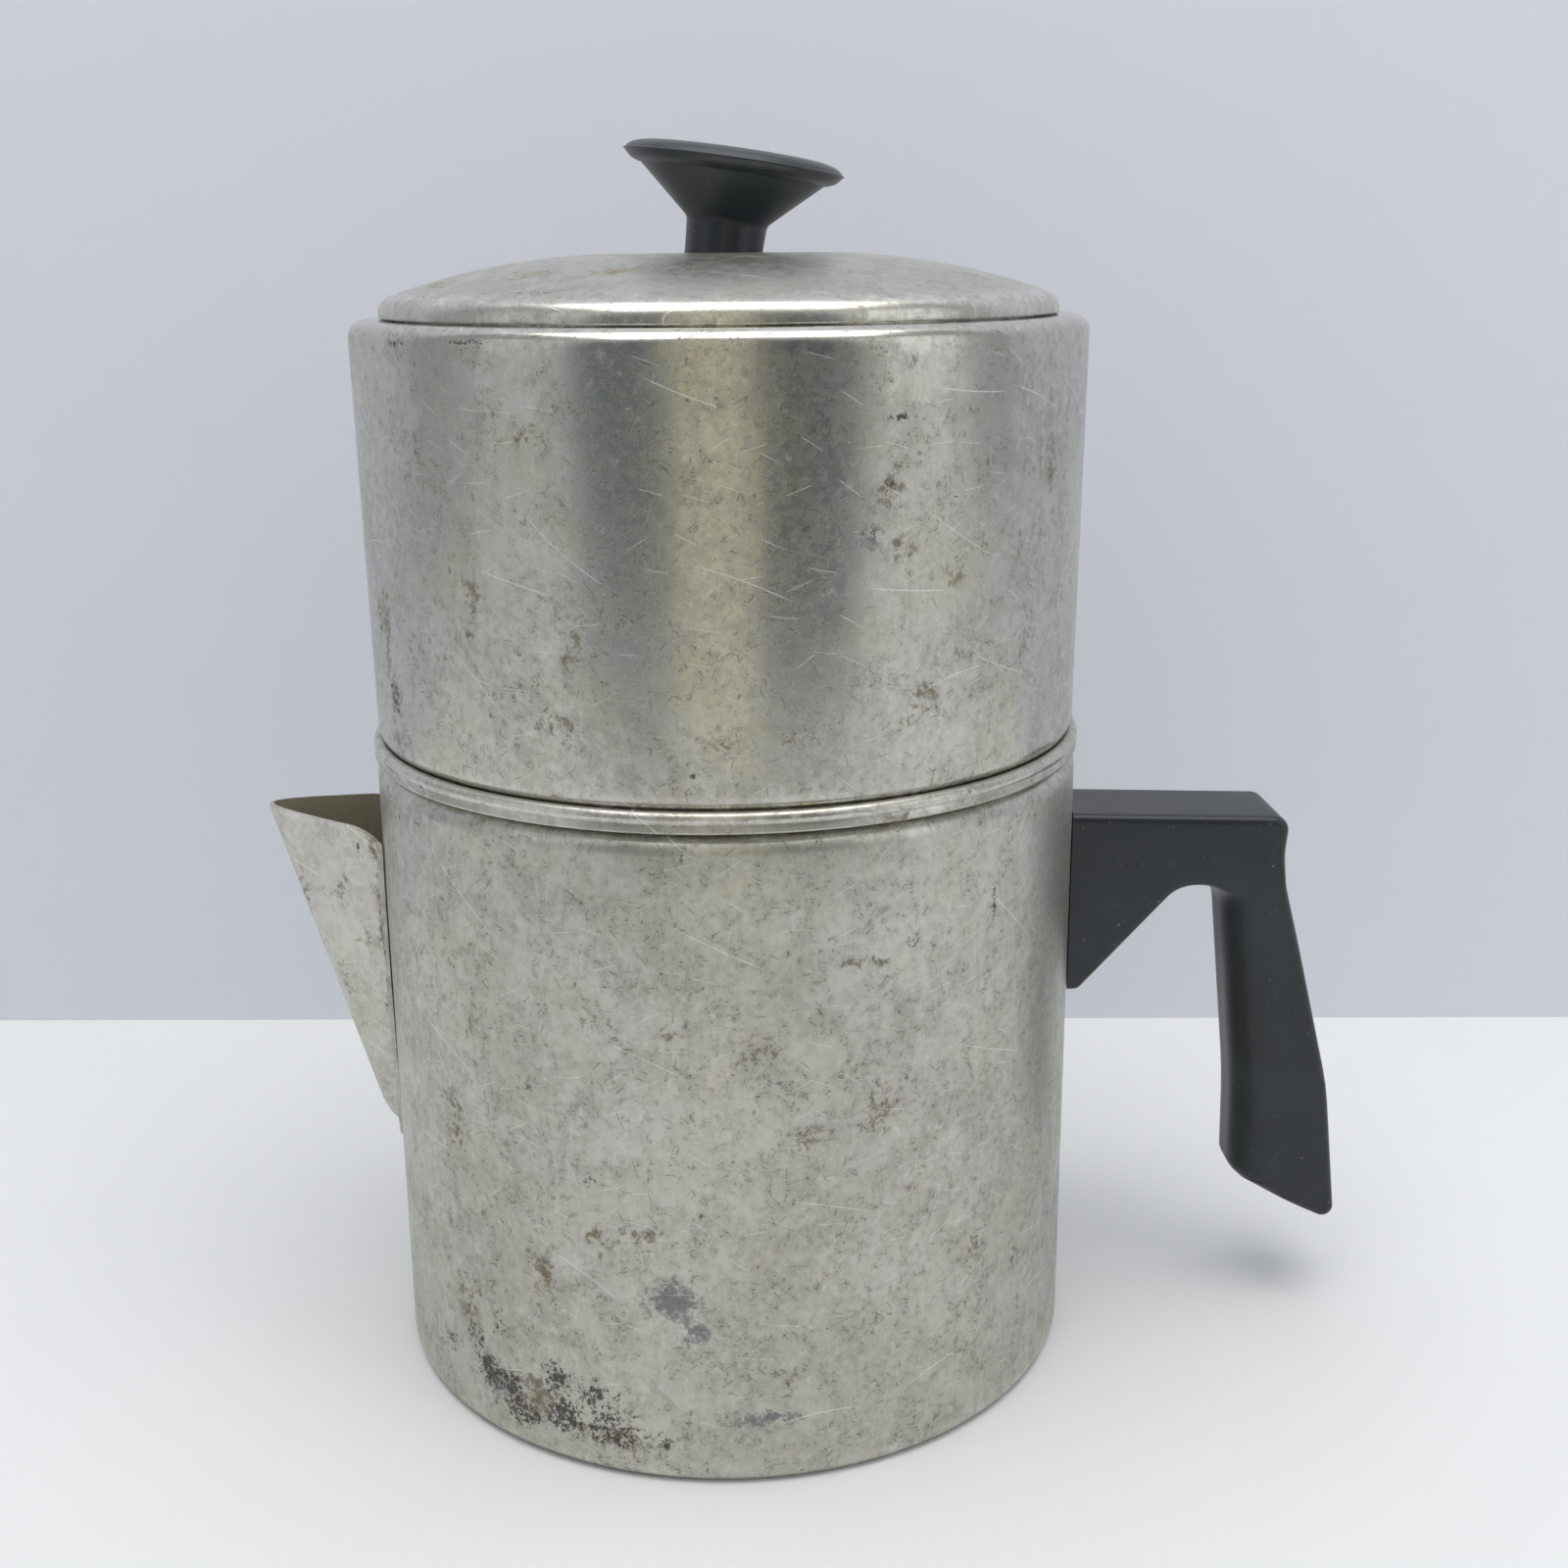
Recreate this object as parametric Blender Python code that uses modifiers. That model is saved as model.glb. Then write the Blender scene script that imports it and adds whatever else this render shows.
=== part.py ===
"""Aluminium stove-top drip coffee pot: server, coffee basket, spreader, water reservoir and lid.

The pot stands on the plane z = 0 with its axis on Z. The spout points to -X and the handle to +X.
Every length is in metres. The pieces stack on each other, so each seat is worked out from the
seat below it, and a piece that slides into another keeps a named clearance to it.
"""
import math

import bmesh
import bpy
from mathutils import Matrix, Vector

# ---------------------------------------------------------------- clearances
SEAT_GAP = 0.0003            # between faces that rest on each other
SLIDE_GAP = 0.0006           # around a piece that slides into a mouth
THREAD_GAP = 0.0003          # between a screw and the hole that it fills

# ---------------------------------------------------------------- server, the lower pot
POT_RADIUS = 0.0664
SERVER_HEIGHT = 0.1199
WALL = 0.0013
BASE_CORNER = 0.0025
SHOULDER_CORNER = 0.0036
LEDGE_WIDTH = 0.0074         # from the outside of a pot to the edge of its mouth

# ---------------------------------------------------------------- spout
SPOUT_REACH = 0.0221         # inside the fold, from the wall to the lip
SPOUT_FOOT_REACH = 0.0022    # the same where the fold's straight run would meet its foot
SPOUT_FOOT_ROUND = 0.0045    # height over which the foot closes onto the wall
SPOUT_HALF_WIDTH = 0.0138
SPOUT_SHEET = 0.0009
SPOUT_DROP = 0.0142          # from the shoulder down to where the spout's edge meets the wall
SPOUT_LENGTH = 0.0647        # from there down to the foot of the fold
SPOUT_LIP_RISE = 0.0023
SPOUT_FLANGE = 0.0030
SPOUT_NOSE = 0.30            # roundness of the fold
STRAINER_ROWS = 4
STRAINER_PITCH = 0.0058
STRAINER_HOLE = 0.0013

# ---------------------------------------------------------------- handle
HANDLE_DROP = 0.0151         # from the shoulder down to the top of the handle
HANDLE_FOOT = 0.0170         # the lowest point of the grip above the base
HANDLE_THICKNESS = 0.0200
HANDLE_EDGE = 0.0018
HANDLE_SCREW_DROPS = {"upper": 0.0085, "lower": 0.0205}

# ---------------------------------------------------------------- screws and inserts
SCREW_RADIUS = 0.0019
SCREW_HEAD_RADIUS = 0.0038
SCREW_HEAD_HEIGHT = 0.0020
SCREW_SLOT = 0.0009
INSERT_RADIUS = 0.0034
INSERT_LENGTH = 0.0080
INSERT_RECESS = 0.0009       # how far an insert sits below the face that it serves
WASHER_RADIUS = 0.0054
WASHER_THICKNESS = 0.0009

# ---------------------------------------------------------------- coffee basket
BASKET_SHEET = 0.00095
BASKET_DEPTH = 0.0480        # from the server's shoulder down to the basket's underside
BASKET_STEP_DROP = 0.0180    # from the shoulder down to the step that carries the spreader
BASKET_STEP = 0.0024
BASKET_CORNER = 0.0030
BEAD_PROUD = 0.00035         # how far the rim bead stands out past the pot
BEAD_RADIUS = 0.0010
BEAD_RISE = 0.0008           # centre of the bead above the rim's flat
BASKET_RINGS = ((1, 0.0), (6, 0.0140), (12, 0.0280), (18, 0.0430))
BASKET_HOLE = 0.0013

# ---------------------------------------------------------------- spreader
SPREADER_SHEET = 0.0010
SPREADER_RINGS = ((6, 0.0140), (12, 0.0280), (18, 0.0430))
SPREADER_HOLE = 0.0015
GRIP_HEIGHT = 0.0070
GRIP_RADIUS = 0.0042
GRIP_STEM = 0.0020

# ---------------------------------------------------------------- water reservoir
RESERVOIR_HEIGHT = 0.0764    # from its step to its rim
RESERVOIR_FLARE = 0.0001     # how far its rim stands out past the server
RESERVOIR_TAPER = 0.0008     # how much narrower its foot is than its rim
FOOT_CORNER = 0.0040
RIM_CORNER = 0.0028
SPIGOT_DEPTH = 0.0085
SPIGOT_CORNER = 0.0015
DRIP_RINGS = ((1, 0.0), (6, 0.0120), (12, 0.0240))
DRIP_HOLE = 0.0010

# ---------------------------------------------------------------- lid
LID_OVERLAP = 0.0020         # how far the lid's brim reaches past the mouth
LID_SHEET = 0.0012
LID_EDGE = 0.0033
LID_CROWN_RADIUS = 0.0180    # the flat middle of the dome
LID_DOME_RADIUS = 0.1250     # the curve from there out to the brim
LID_BAND = 0.0006            # the upright part of the brim
LID_SKIRT = 0.0055

# ---------------------------------------------------------------- knob
KNOB_LEAN = math.radians(8.0)
KNOB_OFFSET = 0.0007
KNOB_RADIUS = 0.0199
KNOB_STEM_RADIUS = 0.0070
KNOB_STEM_HEIGHT = 0.0060
KNOB_NECK_RADIUS = 0.0075
KNOB_LIP_RADIUS = 0.0162
KNOB_LIP_HEIGHT = 0.0134
KNOB_RIM_HEIGHT = 0.0155
KNOB_DOME = 0.0024

# ---------------------------------------------------------------- fineness
POT_STEPS = 40
KNOB_STEPS = 32
SMALL_STEPS = 16
HOLE_SIDES = 6
MERGE = 0.00001

# ---------------------------------------------------------------- sizes that follow from those
MOUTH_RADIUS = POT_RADIUS - LEDGE_WIDTH
BASKET_RADIUS = MOUTH_RADIUS - SLIDE_GAP
BASKET_INNER = BASKET_RADIUS - BASKET_SHEET
RIM_FLAT = SERVER_HEIGHT + SEAT_GAP + 2 * BASKET_SHEET
STEP_SEAT = SERVER_HEIGHT - BASKET_STEP_DROP + BASKET_SHEET
SPREADER_SEAT = STEP_SEAT + SEAT_GAP
RESERVOIR_SEAT = RIM_FLAT + SEAT_GAP
RESERVOIR_RIM_RADIUS = POT_RADIUS + RESERVOIR_FLARE
RESERVOIR_RIM = RESERVOIR_SEAT + RESERVOIR_HEIGHT
RESERVOIR_MOUTH = RESERVOIR_RIM_RADIUS - LEDGE_WIDTH
SPIGOT_RADIUS = BASKET_INNER - SLIDE_GAP
LID_SEAT = RESERVOIR_RIM + SEAT_GAP
LID_RADIUS = RESERVOIR_MOUTH + LID_OVERLAP
LID_BRIM_CENTRE = LID_RADIUS - LID_EDGE
LID_DOME_SLOPE = math.asin((LID_BRIM_CENTRE - LID_CROWN_RADIUS) / (LID_DOME_RADIUS - LID_EDGE))
LID_DOME_DROP = LID_DOME_RADIUS - (LID_DOME_RADIUS - LID_EDGE) * math.cos(LID_DOME_SLOPE)
LID_TOP = LID_SEAT + LID_BAND + LID_DOME_DROP
KNOB_SEAT = LID_TOP + SEAT_GAP
HANDLE_TOP = SERVER_HEIGHT - HANDLE_DROP
PARTS = "drip_coffee_pot"
CUTTERS = "cutters"


# ---------------------------------------------------------------- scene helpers
def clear_scene():
    for obj in list(bpy.data.objects):
        bpy.data.objects.remove(obj, do_unlink=True)


def collection(name):
    found = bpy.data.collections.get(name)
    if found is None:
        found = bpy.data.collections.new(name)
        bpy.context.scene.collection.children.link(found)
    return found


def add_object(name, mesh, group, parent=None):
    obj = bpy.data.objects.new(name, mesh)
    collection(group).objects.link(obj)
    obj.parent = parent
    if group == CUTTERS:
        obj.hide_render = True
        obj.display_type = "WIRE"
    return obj


def add_empty(name, location, rotation=(0.0, 0.0, 0.0), parent=None):
    empty = add_object(name, None, PARTS, parent)
    empty.location = location
    empty.rotation_euler = rotation
    empty.empty_display_size = 0.01
    return empty


def paint(obj, colour, roughness, metallic):
    material = bpy.data.materials.new(obj.name)
    material.use_nodes = True
    shader = material.node_tree.nodes["Principled BSDF"]
    shader.inputs["Base Color"].default_value = (*colour, 1.0)
    shader.inputs["Roughness"].default_value = roughness
    shader.inputs["Metallic"].default_value = metallic
    obj.data.materials.clear()
    obj.data.materials.append(material)
    return obj


def aluminium(obj):
    return paint(obj, (0.62, 0.62, 0.59), 0.38, 1.0)


def brass(obj):
    return paint(obj, (0.70, 0.53, 0.26), 0.35, 1.0)


def steel(obj):
    return paint(obj, (0.55, 0.56, 0.58), 0.30, 1.0)


def bakelite(obj):
    return paint(obj, (0.022, 0.024, 0.028), 0.35, 0.0)


# ---------------------------------------------------------------- shape helpers
def arc(centre_r, centre_z, radius, start, end, count):
    """Points on an arc, from the start angle to the end angle, in degrees from +X towards +Z."""
    points = []
    for i in range(count + 1):
        angle = math.radians(start + (end - start) * i / count)
        points.append((centre_r + radius * math.cos(angle), centre_z + radius * math.sin(angle)))
    return points


def line_mesh(name, points, closed):
    mesh = bpy.data.meshes.new(name)
    edges = [(i, i + 1) for i in range(len(points) - 1)]
    if closed:
        edges.append((len(points) - 1, 0))
    mesh.from_pydata([(r, 0.0, z) for r, z in points], edges, [])
    return mesh


def turn(name, points, steps=POT_STEPS, closed=False, group=PARTS, parent=None):
    """A turned piece. The points run down its outer side, and a closed loop makes a ring."""
    obj = add_object(name, line_mesh(name, points, closed), group, parent)
    screw = obj.modifiers.new("turn", "SCREW")
    screw.axis = "Z"
    screw.angle = 2.0 * math.pi
    screw.steps = steps
    screw.render_steps = steps
    screw.use_merge_vertices = True
    screw.merge_threshold = MERGE
    screw.use_smooth_shade = False
    return obj


def thicken(obj, thickness, offset=-1.0):
    solidify = obj.modifiers.new("sheet", "SOLIDIFY")
    solidify.thickness = thickness
    solidify.offset = offset
    solidify.use_even_offset = True
    solidify.use_rim = True
    return obj


def merge_flats(obj):
    """Joins the coplanar faces of floors and ledges, so that holes cut few faces."""
    dissolve = obj.modifiers.new("flats", "DECIMATE")
    dissolve.decimate_type = "DISSOLVE"
    dissolve.angle_limit = math.radians(0.5)
    return obj


def cut(obj, cutter):
    boolean = obj.modifiers.new("cut " + cutter.name, "BOOLEAN")
    boolean.operation = "DIFFERENCE"
    boolean.solver = "EXACT"
    boolean.object = cutter
    return obj


def round_edges(obj, width, segments, angle=30.0):
    bevel = obj.modifiers.new("edges", "BEVEL")
    bevel.width = width
    bevel.segments = segments
    bevel.limit_method = "ANGLE"
    bevel.angle_limit = math.radians(angle)
    bevel.use_clamp_overlap = True
    return obj


def rods(name, rows, radius, length, axis, sides):
    """One cutter of separate rods, each centred on a point of rows and lying along the axis."""
    turn_to_axis = Vector((0.0, 0.0, 1.0)).rotation_difference(Vector(axis)).to_matrix().to_4x4()
    work = bmesh.new()
    for centre in rows:
        place = turn_to_axis.copy()
        place.translation = centre
        bmesh.ops.create_cone(work, cap_ends=True, segments=sides, radius1=radius,
                              radius2=radius, depth=length, matrix=place)
    mesh = bpy.data.meshes.new(name)
    work.to_mesh(mesh)
    work.free()
    return add_object(name, mesh, CUTTERS)


def box(name, low, high, group=CUTTERS, parent=None):
    work = bmesh.new()
    bmesh.ops.create_cube(work, size=1.0)
    for vert in work.verts:
        vert.co = [low[k] + (vert.co[k] + 0.5) * (high[k] - low[k]) for k in range(3)]
    mesh = bpy.data.meshes.new(name)
    work.to_mesh(mesh)
    work.free()
    return add_object(name, mesh, group, parent)


def ring_points(rings, height):
    """Hole centres on rings of (count, radius). Odd rings are turned by half a pitch."""
    points = []
    for index, (count, radius) in enumerate(rings):
        for k in range(count):
            angle = 2.0 * math.pi * (k + 0.5 * (index % 2)) / count
            points.append(Vector((radius * math.cos(angle), radius * math.sin(angle), height)))
    return points


def perforate(obj, rings, hole_radius, height, sheet):
    holes = rods(obj.name + "_holes", ring_points(rings, height), hole_radius, 4.0 * sheet,
                 (0.0, 0.0, 1.0), HOLE_SIDES)
    return cut(obj, holes)


def filleted(corners, degrees_per_step=16.0):
    """An outline through corners of (x, z, radius), with each corner rounded to its radius."""
    points = []
    for index, (x, z, radius) in enumerate(corners):
        here = Vector((x, z))
        before = (Vector(corners[index - 1][:2]) - here)
        after = (Vector(corners[(index + 1) % len(corners)][:2]) - here)
        if radius <= 0.0:
            points.append(here)
            continue
        half = before.angle(after) / 2.0
        reach = min(radius / math.tan(half), 0.48 * before.length, 0.48 * after.length)
        real_radius = reach * math.tan(half)
        start = here + before.normalized() * reach
        end = here + after.normalized() * reach
        bisector = (before.normalized() + after.normalized()).normalized()
        centre = here + bisector * (real_radius / math.sin(half))
        sweep = -(start - centre).angle_signed(end - centre)
        count = max(1, math.ceil(abs(math.degrees(sweep)) / degrees_per_step))
        for k in range(count + 1):
            spoke = Matrix.Rotation(sweep * k / count, 2) @ (start - centre)
            points.append(centre + spoke)
    return points


def slab(name, corners, thickness, group=PARTS):
    """A flat plate in the plane y = 0, from an outline in x and z, made a mesh."""
    curve = bpy.data.curves.new(name, "CURVE")
    curve.dimensions = "2D"
    curve.fill_mode = "BOTH"
    curve.extrude = thickness / 2.0
    points = filleted(corners)
    spline = curve.splines.new("POLY")
    spline.points.add(len(points) - 1)
    for slot, point in zip(spline.points, points):
        slot.co = (point.x, point.y, 0.0, 1.0)
    spline.use_cyclic_u = True
    outline = add_object(name + "_outline", curve, group)
    outline.rotation_euler = (math.radians(90.0), 0.0, 0.0)
    bpy.context.view_layer.update()
    evaluated = outline.evaluated_get(bpy.context.evaluated_depsgraph_get())
    mesh = bpy.data.meshes.new_from_object(evaluated)
    work = bmesh.new()
    work.from_mesh(mesh)
    bmesh.ops.remove_doubles(work, verts=work.verts, dist=MERGE)
    bmesh.ops.dissolve_limit(work, angle_limit=math.radians(0.5), verts=work.verts, edges=work.edges)
    bmesh.ops.recalc_face_normals(work, faces=work.faces)
    work.to_mesh(mesh)
    work.free()
    plate = add_object(name, mesh, group)
    plate.matrix_world = outline.matrix_world
    bpy.data.objects.remove(outline, do_unlink=True)
    return plate


# ---------------------------------------------------------------- fasteners
def screw_piece(name, parent, length):
    """A pan-head screw along -Z from the underside of its head at the parent's origin."""
    points = [(0.0, length), (SCREW_RADIUS, length), (SCREW_RADIUS, 0.0),
              (SCREW_HEAD_RADIUS, 0.0)]
    points += arc(SCREW_HEAD_RADIUS - 0.5 * SCREW_HEAD_HEIGHT, -0.5 * SCREW_HEAD_HEIGHT,
                  0.5 * SCREW_HEAD_HEIGHT, 0.0, -90.0, 2)
    points.append((0.0, -SCREW_HEAD_HEIGHT))
    piece = turn(name, points, SMALL_STEPS, parent=parent)
    slot = box(name + "_slot", (-2.0 * SCREW_HEAD_RADIUS, -0.5 * SCREW_SLOT, -2.0 * SCREW_HEAD_HEIGHT),
               (2.0 * SCREW_HEAD_RADIUS, 0.5 * SCREW_SLOT, -0.5 * SCREW_HEAD_HEIGHT), parent=parent)
    return steel(cut(piece, slot))


def washer_piece(name, parent, lift):
    """A washer whose near face is at the given height above the parent's origin."""
    inner = SCREW_RADIUS + THREAD_GAP
    points = [(WASHER_RADIUS, lift + WASHER_THICKNESS), (WASHER_RADIUS, lift),
              (inner, lift), (inner, lift + WASHER_THICKNESS)]
    return steel(turn(name, points, SMALL_STEPS, closed=True, parent=parent))


def insert_piece(name, parent, lift):
    """A threaded brass insert, open at the end that faces its screw."""
    bore = SCREW_RADIUS + THREAD_GAP
    top = lift + INSERT_LENGTH
    points = [(INSERT_RADIUS, top), (INSERT_RADIUS, lift), (bore, lift), (bore, top)]
    return brass(turn(name, points, SMALL_STEPS, closed=True, parent=parent))


def insert_pocket(name, parent, lift):
    """The pocket of an insert: it is open below, and it ends just past the insert's far end."""
    radius = INSERT_RADIUS + SEAT_GAP
    top = lift + INSERT_LENGTH + SEAT_GAP
    points = [(0.0, top), (radius, top), (radius, -4.0 * INSERT_RECESS), (0.0, -4.0 * INSERT_RECESS)]
    return turn(name, points, SMALL_STEPS, group=CUTTERS, parent=parent)


# ---------------------------------------------------------------- server
def server_profile():
    points = [(MOUTH_RADIUS, SERVER_HEIGHT)]
    points += arc(POT_RADIUS - SHOULDER_CORNER, SERVER_HEIGHT - SHOULDER_CORNER, SHOULDER_CORNER,
                  90.0, 0.0, 3)
    points += arc(POT_RADIUS - BASE_CORNER, BASE_CORNER, BASE_CORNER, 0.0, -90.0, 2)
    points.append((0.0, 0.0))
    return points


def spout_top():
    return SERVER_HEIGHT - SPOUT_DROP


def spout_reach(height):
    """How far the inside of the fold stands out at this height: a straight run, closed at its foot."""
    above = max(height - (spout_top() - SPOUT_LENGTH), 0.0)
    slope = (SPOUT_REACH - SPOUT_FOOT_REACH) / (SPOUT_LENGTH + SPOUT_LIP_RISE)
    closing = min(above / SPOUT_FOOT_ROUND, 1.0)
    return (SPOUT_FOOT_REACH + slope * above) * math.sqrt(1.0 - (1.0 - closing) ** 2)


def strainer_points():
    """Rows of hole centres behind the spout, one hole fewer in each row down."""
    points = []
    for row in range(STRAINER_ROWS):
        count = STRAINER_ROWS - row
        height = spout_top() - (1.6 + 1.1 * row) * STRAINER_PITCH
        for k in range(count):
            side = (k - 0.5 * (count - 1)) * STRAINER_PITCH
            points.append(Vector((-POT_RADIUS, side, height)))
    return points


def make_server():
    body = turn("server_body", server_profile())
    thicken(body, WALL)
    merge_flats(body)
    cut(body, rods("strainer_holes", strainer_points(), STRAINER_HOLE, 8.0 * WALL,
                   (1.0, 0.0, 0.0), HOLE_SIDES))
    rows = [Vector((POT_RADIUS, 0.0, HANDLE_TOP - drop)) for drop in HANDLE_SCREW_DROPS.values()]
    cut(body, rods("handle_screw_holes", rows, SCREW_RADIUS + THREAD_GAP, 8.0 * WALL,
                   (1.0, 0.0, 0.0), SMALL_STEPS))
    return aluminium(body)


# ---------------------------------------------------------------- spout
def spout_fold(share):
    """How far the fold stands out, from 1 at the nose to 0 where the side meets the wall."""
    full = math.hypot(1.0, SPOUT_NOSE) - SPOUT_NOSE
    return 1.0 - (math.hypot(share, SPOUT_NOSE) - SPOUT_NOSE) / full


def spout_levels(rows):
    """Heights at the wall, closer together near the foot, each with the spread of its flange."""
    foot = spout_top() - SPOUT_LENGTH
    tail = 1.2 * SPOUT_FLANGE
    levels = [(foot - tail, 0.25), (foot - 0.5 * tail, 0.8)]
    return levels + [(foot + SPOUT_LENGTH * (k / rows) ** 1.6, 1.0) for k in range(rows + 1)]


def make_spout(rows=12, side_columns=6, flange_columns=2):
    """Half of a folded sheet with its flange, thickened outwards and mirrored in the plane y = 0."""
    seat = POT_RADIUS + SEAT_GAP
    foot = spout_top() - SPOUT_LENGTH
    columns = side_columns + flange_columns + 1
    levels = spout_levels(rows)
    narrowest = 0.04 * SPOUT_HALF_WIDTH
    verts = []
    faces = []
    for low, spread in levels:
        reach = spout_reach(low)
        half_width = max(SPOUT_HALF_WIDTH * reach / SPOUT_REACH, narrowest)
        lift = SPOUT_LIP_RISE * max(low - foot, 0.0) / SPOUT_LENGTH
        for k in range(columns):
            share = min(k / side_columns, 1.0)
            past = max(k - side_columns, 0) / flange_columns
            side = (half_width * share + SPOUT_FLANGE * past) * spread
            fold = spout_fold(share)
            verts.append((-math.sqrt(seat ** 2 - side ** 2) - reach * fold, side, low + lift * fold))
    for row in range(len(levels) - 1):
        for k in range(columns - 1):
            first = row * columns + k
            faces.append((first, first + columns, first + columns + 1, first + 1))
    mesh = bpy.data.meshes.new("spout")
    mesh.from_pydata(verts, [], faces)
    spout = add_object("spout", mesh, PARTS)
    mirror = spout.modifiers.new("other side", "MIRROR")
    mirror.use_axis = (False, True, False)
    mirror.use_mirror_merge = True
    mirror.merge_threshold = MERGE
    thicken(spout, SPOUT_SHEET, 1.0)
    return aluminium(spout)


# ---------------------------------------------------------------- handle
def handle_corners():
    """The handle's outline: x from the axis, z from the base, and the radius of each corner."""
    wall = POT_RADIUS
    top = HANDLE_TOP
    foot = HANDLE_FOOT
    inside = wall - 0.0040
    return [
        (inside, top + 0.0008, 0.0), (wall + 0.0420, top - 0.0006, 0.0030),
        (wall + 0.0415, top - 0.0080, 0.0150), (wall + 0.0422, top - 0.0147, 0.0150),
        (wall + 0.0530, foot + 0.0305, 0.0600), (wall + 0.0566, foot, 0.0022),
        (wall + 0.0354, foot + 0.0100, 0.0035), (wall + 0.0349, foot + 0.0290, 0.1000),
        (wall + 0.0291, top - 0.0052, 0.0069), (wall + 0.0018, top - 0.0354, 0.0020),
        (inside, top - 0.0355, 0.0),
    ]


def inner_wall_at(side):
    """How far the server's inner wall is from the plane x = 0, this far to one side of y = 0."""
    inner = POT_RADIUS - WALL
    facet = inner * (1.0 - math.cos(math.pi / POT_STEPS))
    return math.sqrt(inner ** 2 - side ** 2) - facet


def make_handle():
    handle = slab("handle", handle_corners(), HANDLE_THICKNESS)
    round_edges(handle, HANDLE_EDGE, 2, 50.0)
    wall_radius = POT_RADIUS + SEAT_GAP
    cut(handle, turn("pot_wall", [(0.0, SERVER_HEIGHT), (wall_radius, SERVER_HEIGHT),
                                  (wall_radius, 0.0), (0.0, 0.0)], group=CUTTERS))
    bakelite(handle)
    for place, drop in HANDLE_SCREW_DROPS.items():
        head_seat = inner_wall_at(WASHER_RADIUS) - 2.0 * SEAT_GAP - WASHER_THICKNESS
        axis = add_empty("handle_screw_axis_" + place, (head_seat, 0.0, HANDLE_TOP - drop),
                         (0.0, math.radians(90.0), 0.0))
        to_insert = POT_RADIUS + SEAT_GAP + INSERT_RECESS - head_seat
        cut(handle, insert_pocket("handle_pocket_" + place, axis, to_insert))
        insert_piece("handle_insert_" + place, axis, to_insert)
        washer_piece("handle_washer_" + place, axis, SEAT_GAP)
        screw_piece("handle_screw_" + place, axis, to_insert + INSERT_LENGTH - INSERT_RECESS)
    return handle


# ---------------------------------------------------------------- coffee basket
def basket_profile():
    """Inner side from the floor's centre up to the rim, over the bead, then the outer side down."""
    bottom = SERVER_HEIGHT - BASKET_DEPTH
    step = SERVER_HEIGHT - BASKET_STEP_DROP
    low_outer = BASKET_RADIUS - BASKET_STEP
    low_inner = low_outer - BASKET_SHEET
    inner_corner = BASKET_CORNER - BASKET_SHEET
    bead_edge = POT_RADIUS + BEAD_PROUD
    under = SERVER_HEIGHT + SEAT_GAP
    points = [(0.0, bottom + BASKET_SHEET)]
    points += arc(low_inner - inner_corner, bottom + BASKET_CORNER, inner_corner, -90.0, 0.0, 2)
    points += [(low_inner, STEP_SEAT), (BASKET_INNER, STEP_SEAT)]
    points += arc(BASKET_INNER + BASKET_SHEET, RIM_FLAT - BASKET_SHEET, BASKET_SHEET, 180.0, 90.0, 2)
    points.append((bead_edge - 2.1 * BEAD_RADIUS, RIM_FLAT))
    points += arc(bead_edge - BEAD_RADIUS, RIM_FLAT + BEAD_RISE, BEAD_RADIUS, 180.0, 0.0, 5)
    points += [(bead_edge, under + 0.3 * BEAD_RADIUS), (bead_edge - 0.3 * BEAD_RADIUS, under)]
    points += [(BASKET_RADIUS, under), (BASKET_RADIUS, step), (low_outer, step)]
    points += arc(low_outer - BASKET_CORNER, bottom + BASKET_CORNER, BASKET_CORNER, 0.0, -90.0, 2)
    points.append((0.0, bottom))
    return points


def make_basket():
    basket = turn("basket_shell", basket_profile())
    merge_flats(basket)
    perforate(basket, BASKET_RINGS, BASKET_HOLE, SERVER_HEIGHT - BASKET_DEPTH, BASKET_SHEET)
    return aluminium(basket)


# ---------------------------------------------------------------- spreader
def make_spreader():
    radius = BASKET_INNER - SLIDE_GAP
    bore = GRIP_STEM + SEAT_GAP
    top = SPREADER_SEAT + SPREADER_SHEET
    plate = turn("spreader_plate", [(radius, top), (radius, SPREADER_SEAT),
                                    (bore, SPREADER_SEAT), (bore, top)], closed=True)
    merge_flats(plate)
    perforate(plate, SPREADER_RINGS, SPREADER_HOLE, SPREADER_SEAT, SPREADER_SHEET)
    aluminium(plate)
    above = top + SEAT_GAP
    below = SPREADER_SEAT - SEAT_GAP
    head = 1.6 * GRIP_STEM
    points = [(0.0, top + GRIP_HEIGHT), (0.6 * GRIP_RADIUS, top + GRIP_HEIGHT)]
    points += arc(GRIP_RADIUS - 0.0012, top + GRIP_HEIGHT - 0.0016, 0.0012, 70.0, -60.0, 4)
    points += [(0.7 * GRIP_RADIUS, above), (GRIP_STEM, above), (GRIP_STEM, below), (head, below),
               (0.7 * head, below - 0.0008), (0.0, below - 0.0008)]
    return aluminium(turn("spreader_grip", points, SMALL_STEPS))


# ---------------------------------------------------------------- water reservoir
def reservoir_profile():
    foot_radius = RESERVOIR_RIM_RADIUS - RESERVOIR_TAPER
    floor = RESERVOIR_SEAT - SPIGOT_DEPTH
    points = [(RESERVOIR_MOUTH, RESERVOIR_RIM)]
    points += arc(RESERVOIR_RIM_RADIUS - RIM_CORNER, RESERVOIR_RIM - RIM_CORNER, RIM_CORNER,
                  90.0, 0.0, 3)
    points += arc(foot_radius - FOOT_CORNER, RESERVOIR_SEAT + FOOT_CORNER, FOOT_CORNER,
                  0.0, -90.0, 4)
    points.append((SPIGOT_RADIUS, RESERVOIR_SEAT))
    points += arc(SPIGOT_RADIUS - SPIGOT_CORNER, floor + SPIGOT_CORNER, SPIGOT_CORNER,
                  0.0, -90.0, 2)
    points.append((0.0, floor))
    return points


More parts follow.
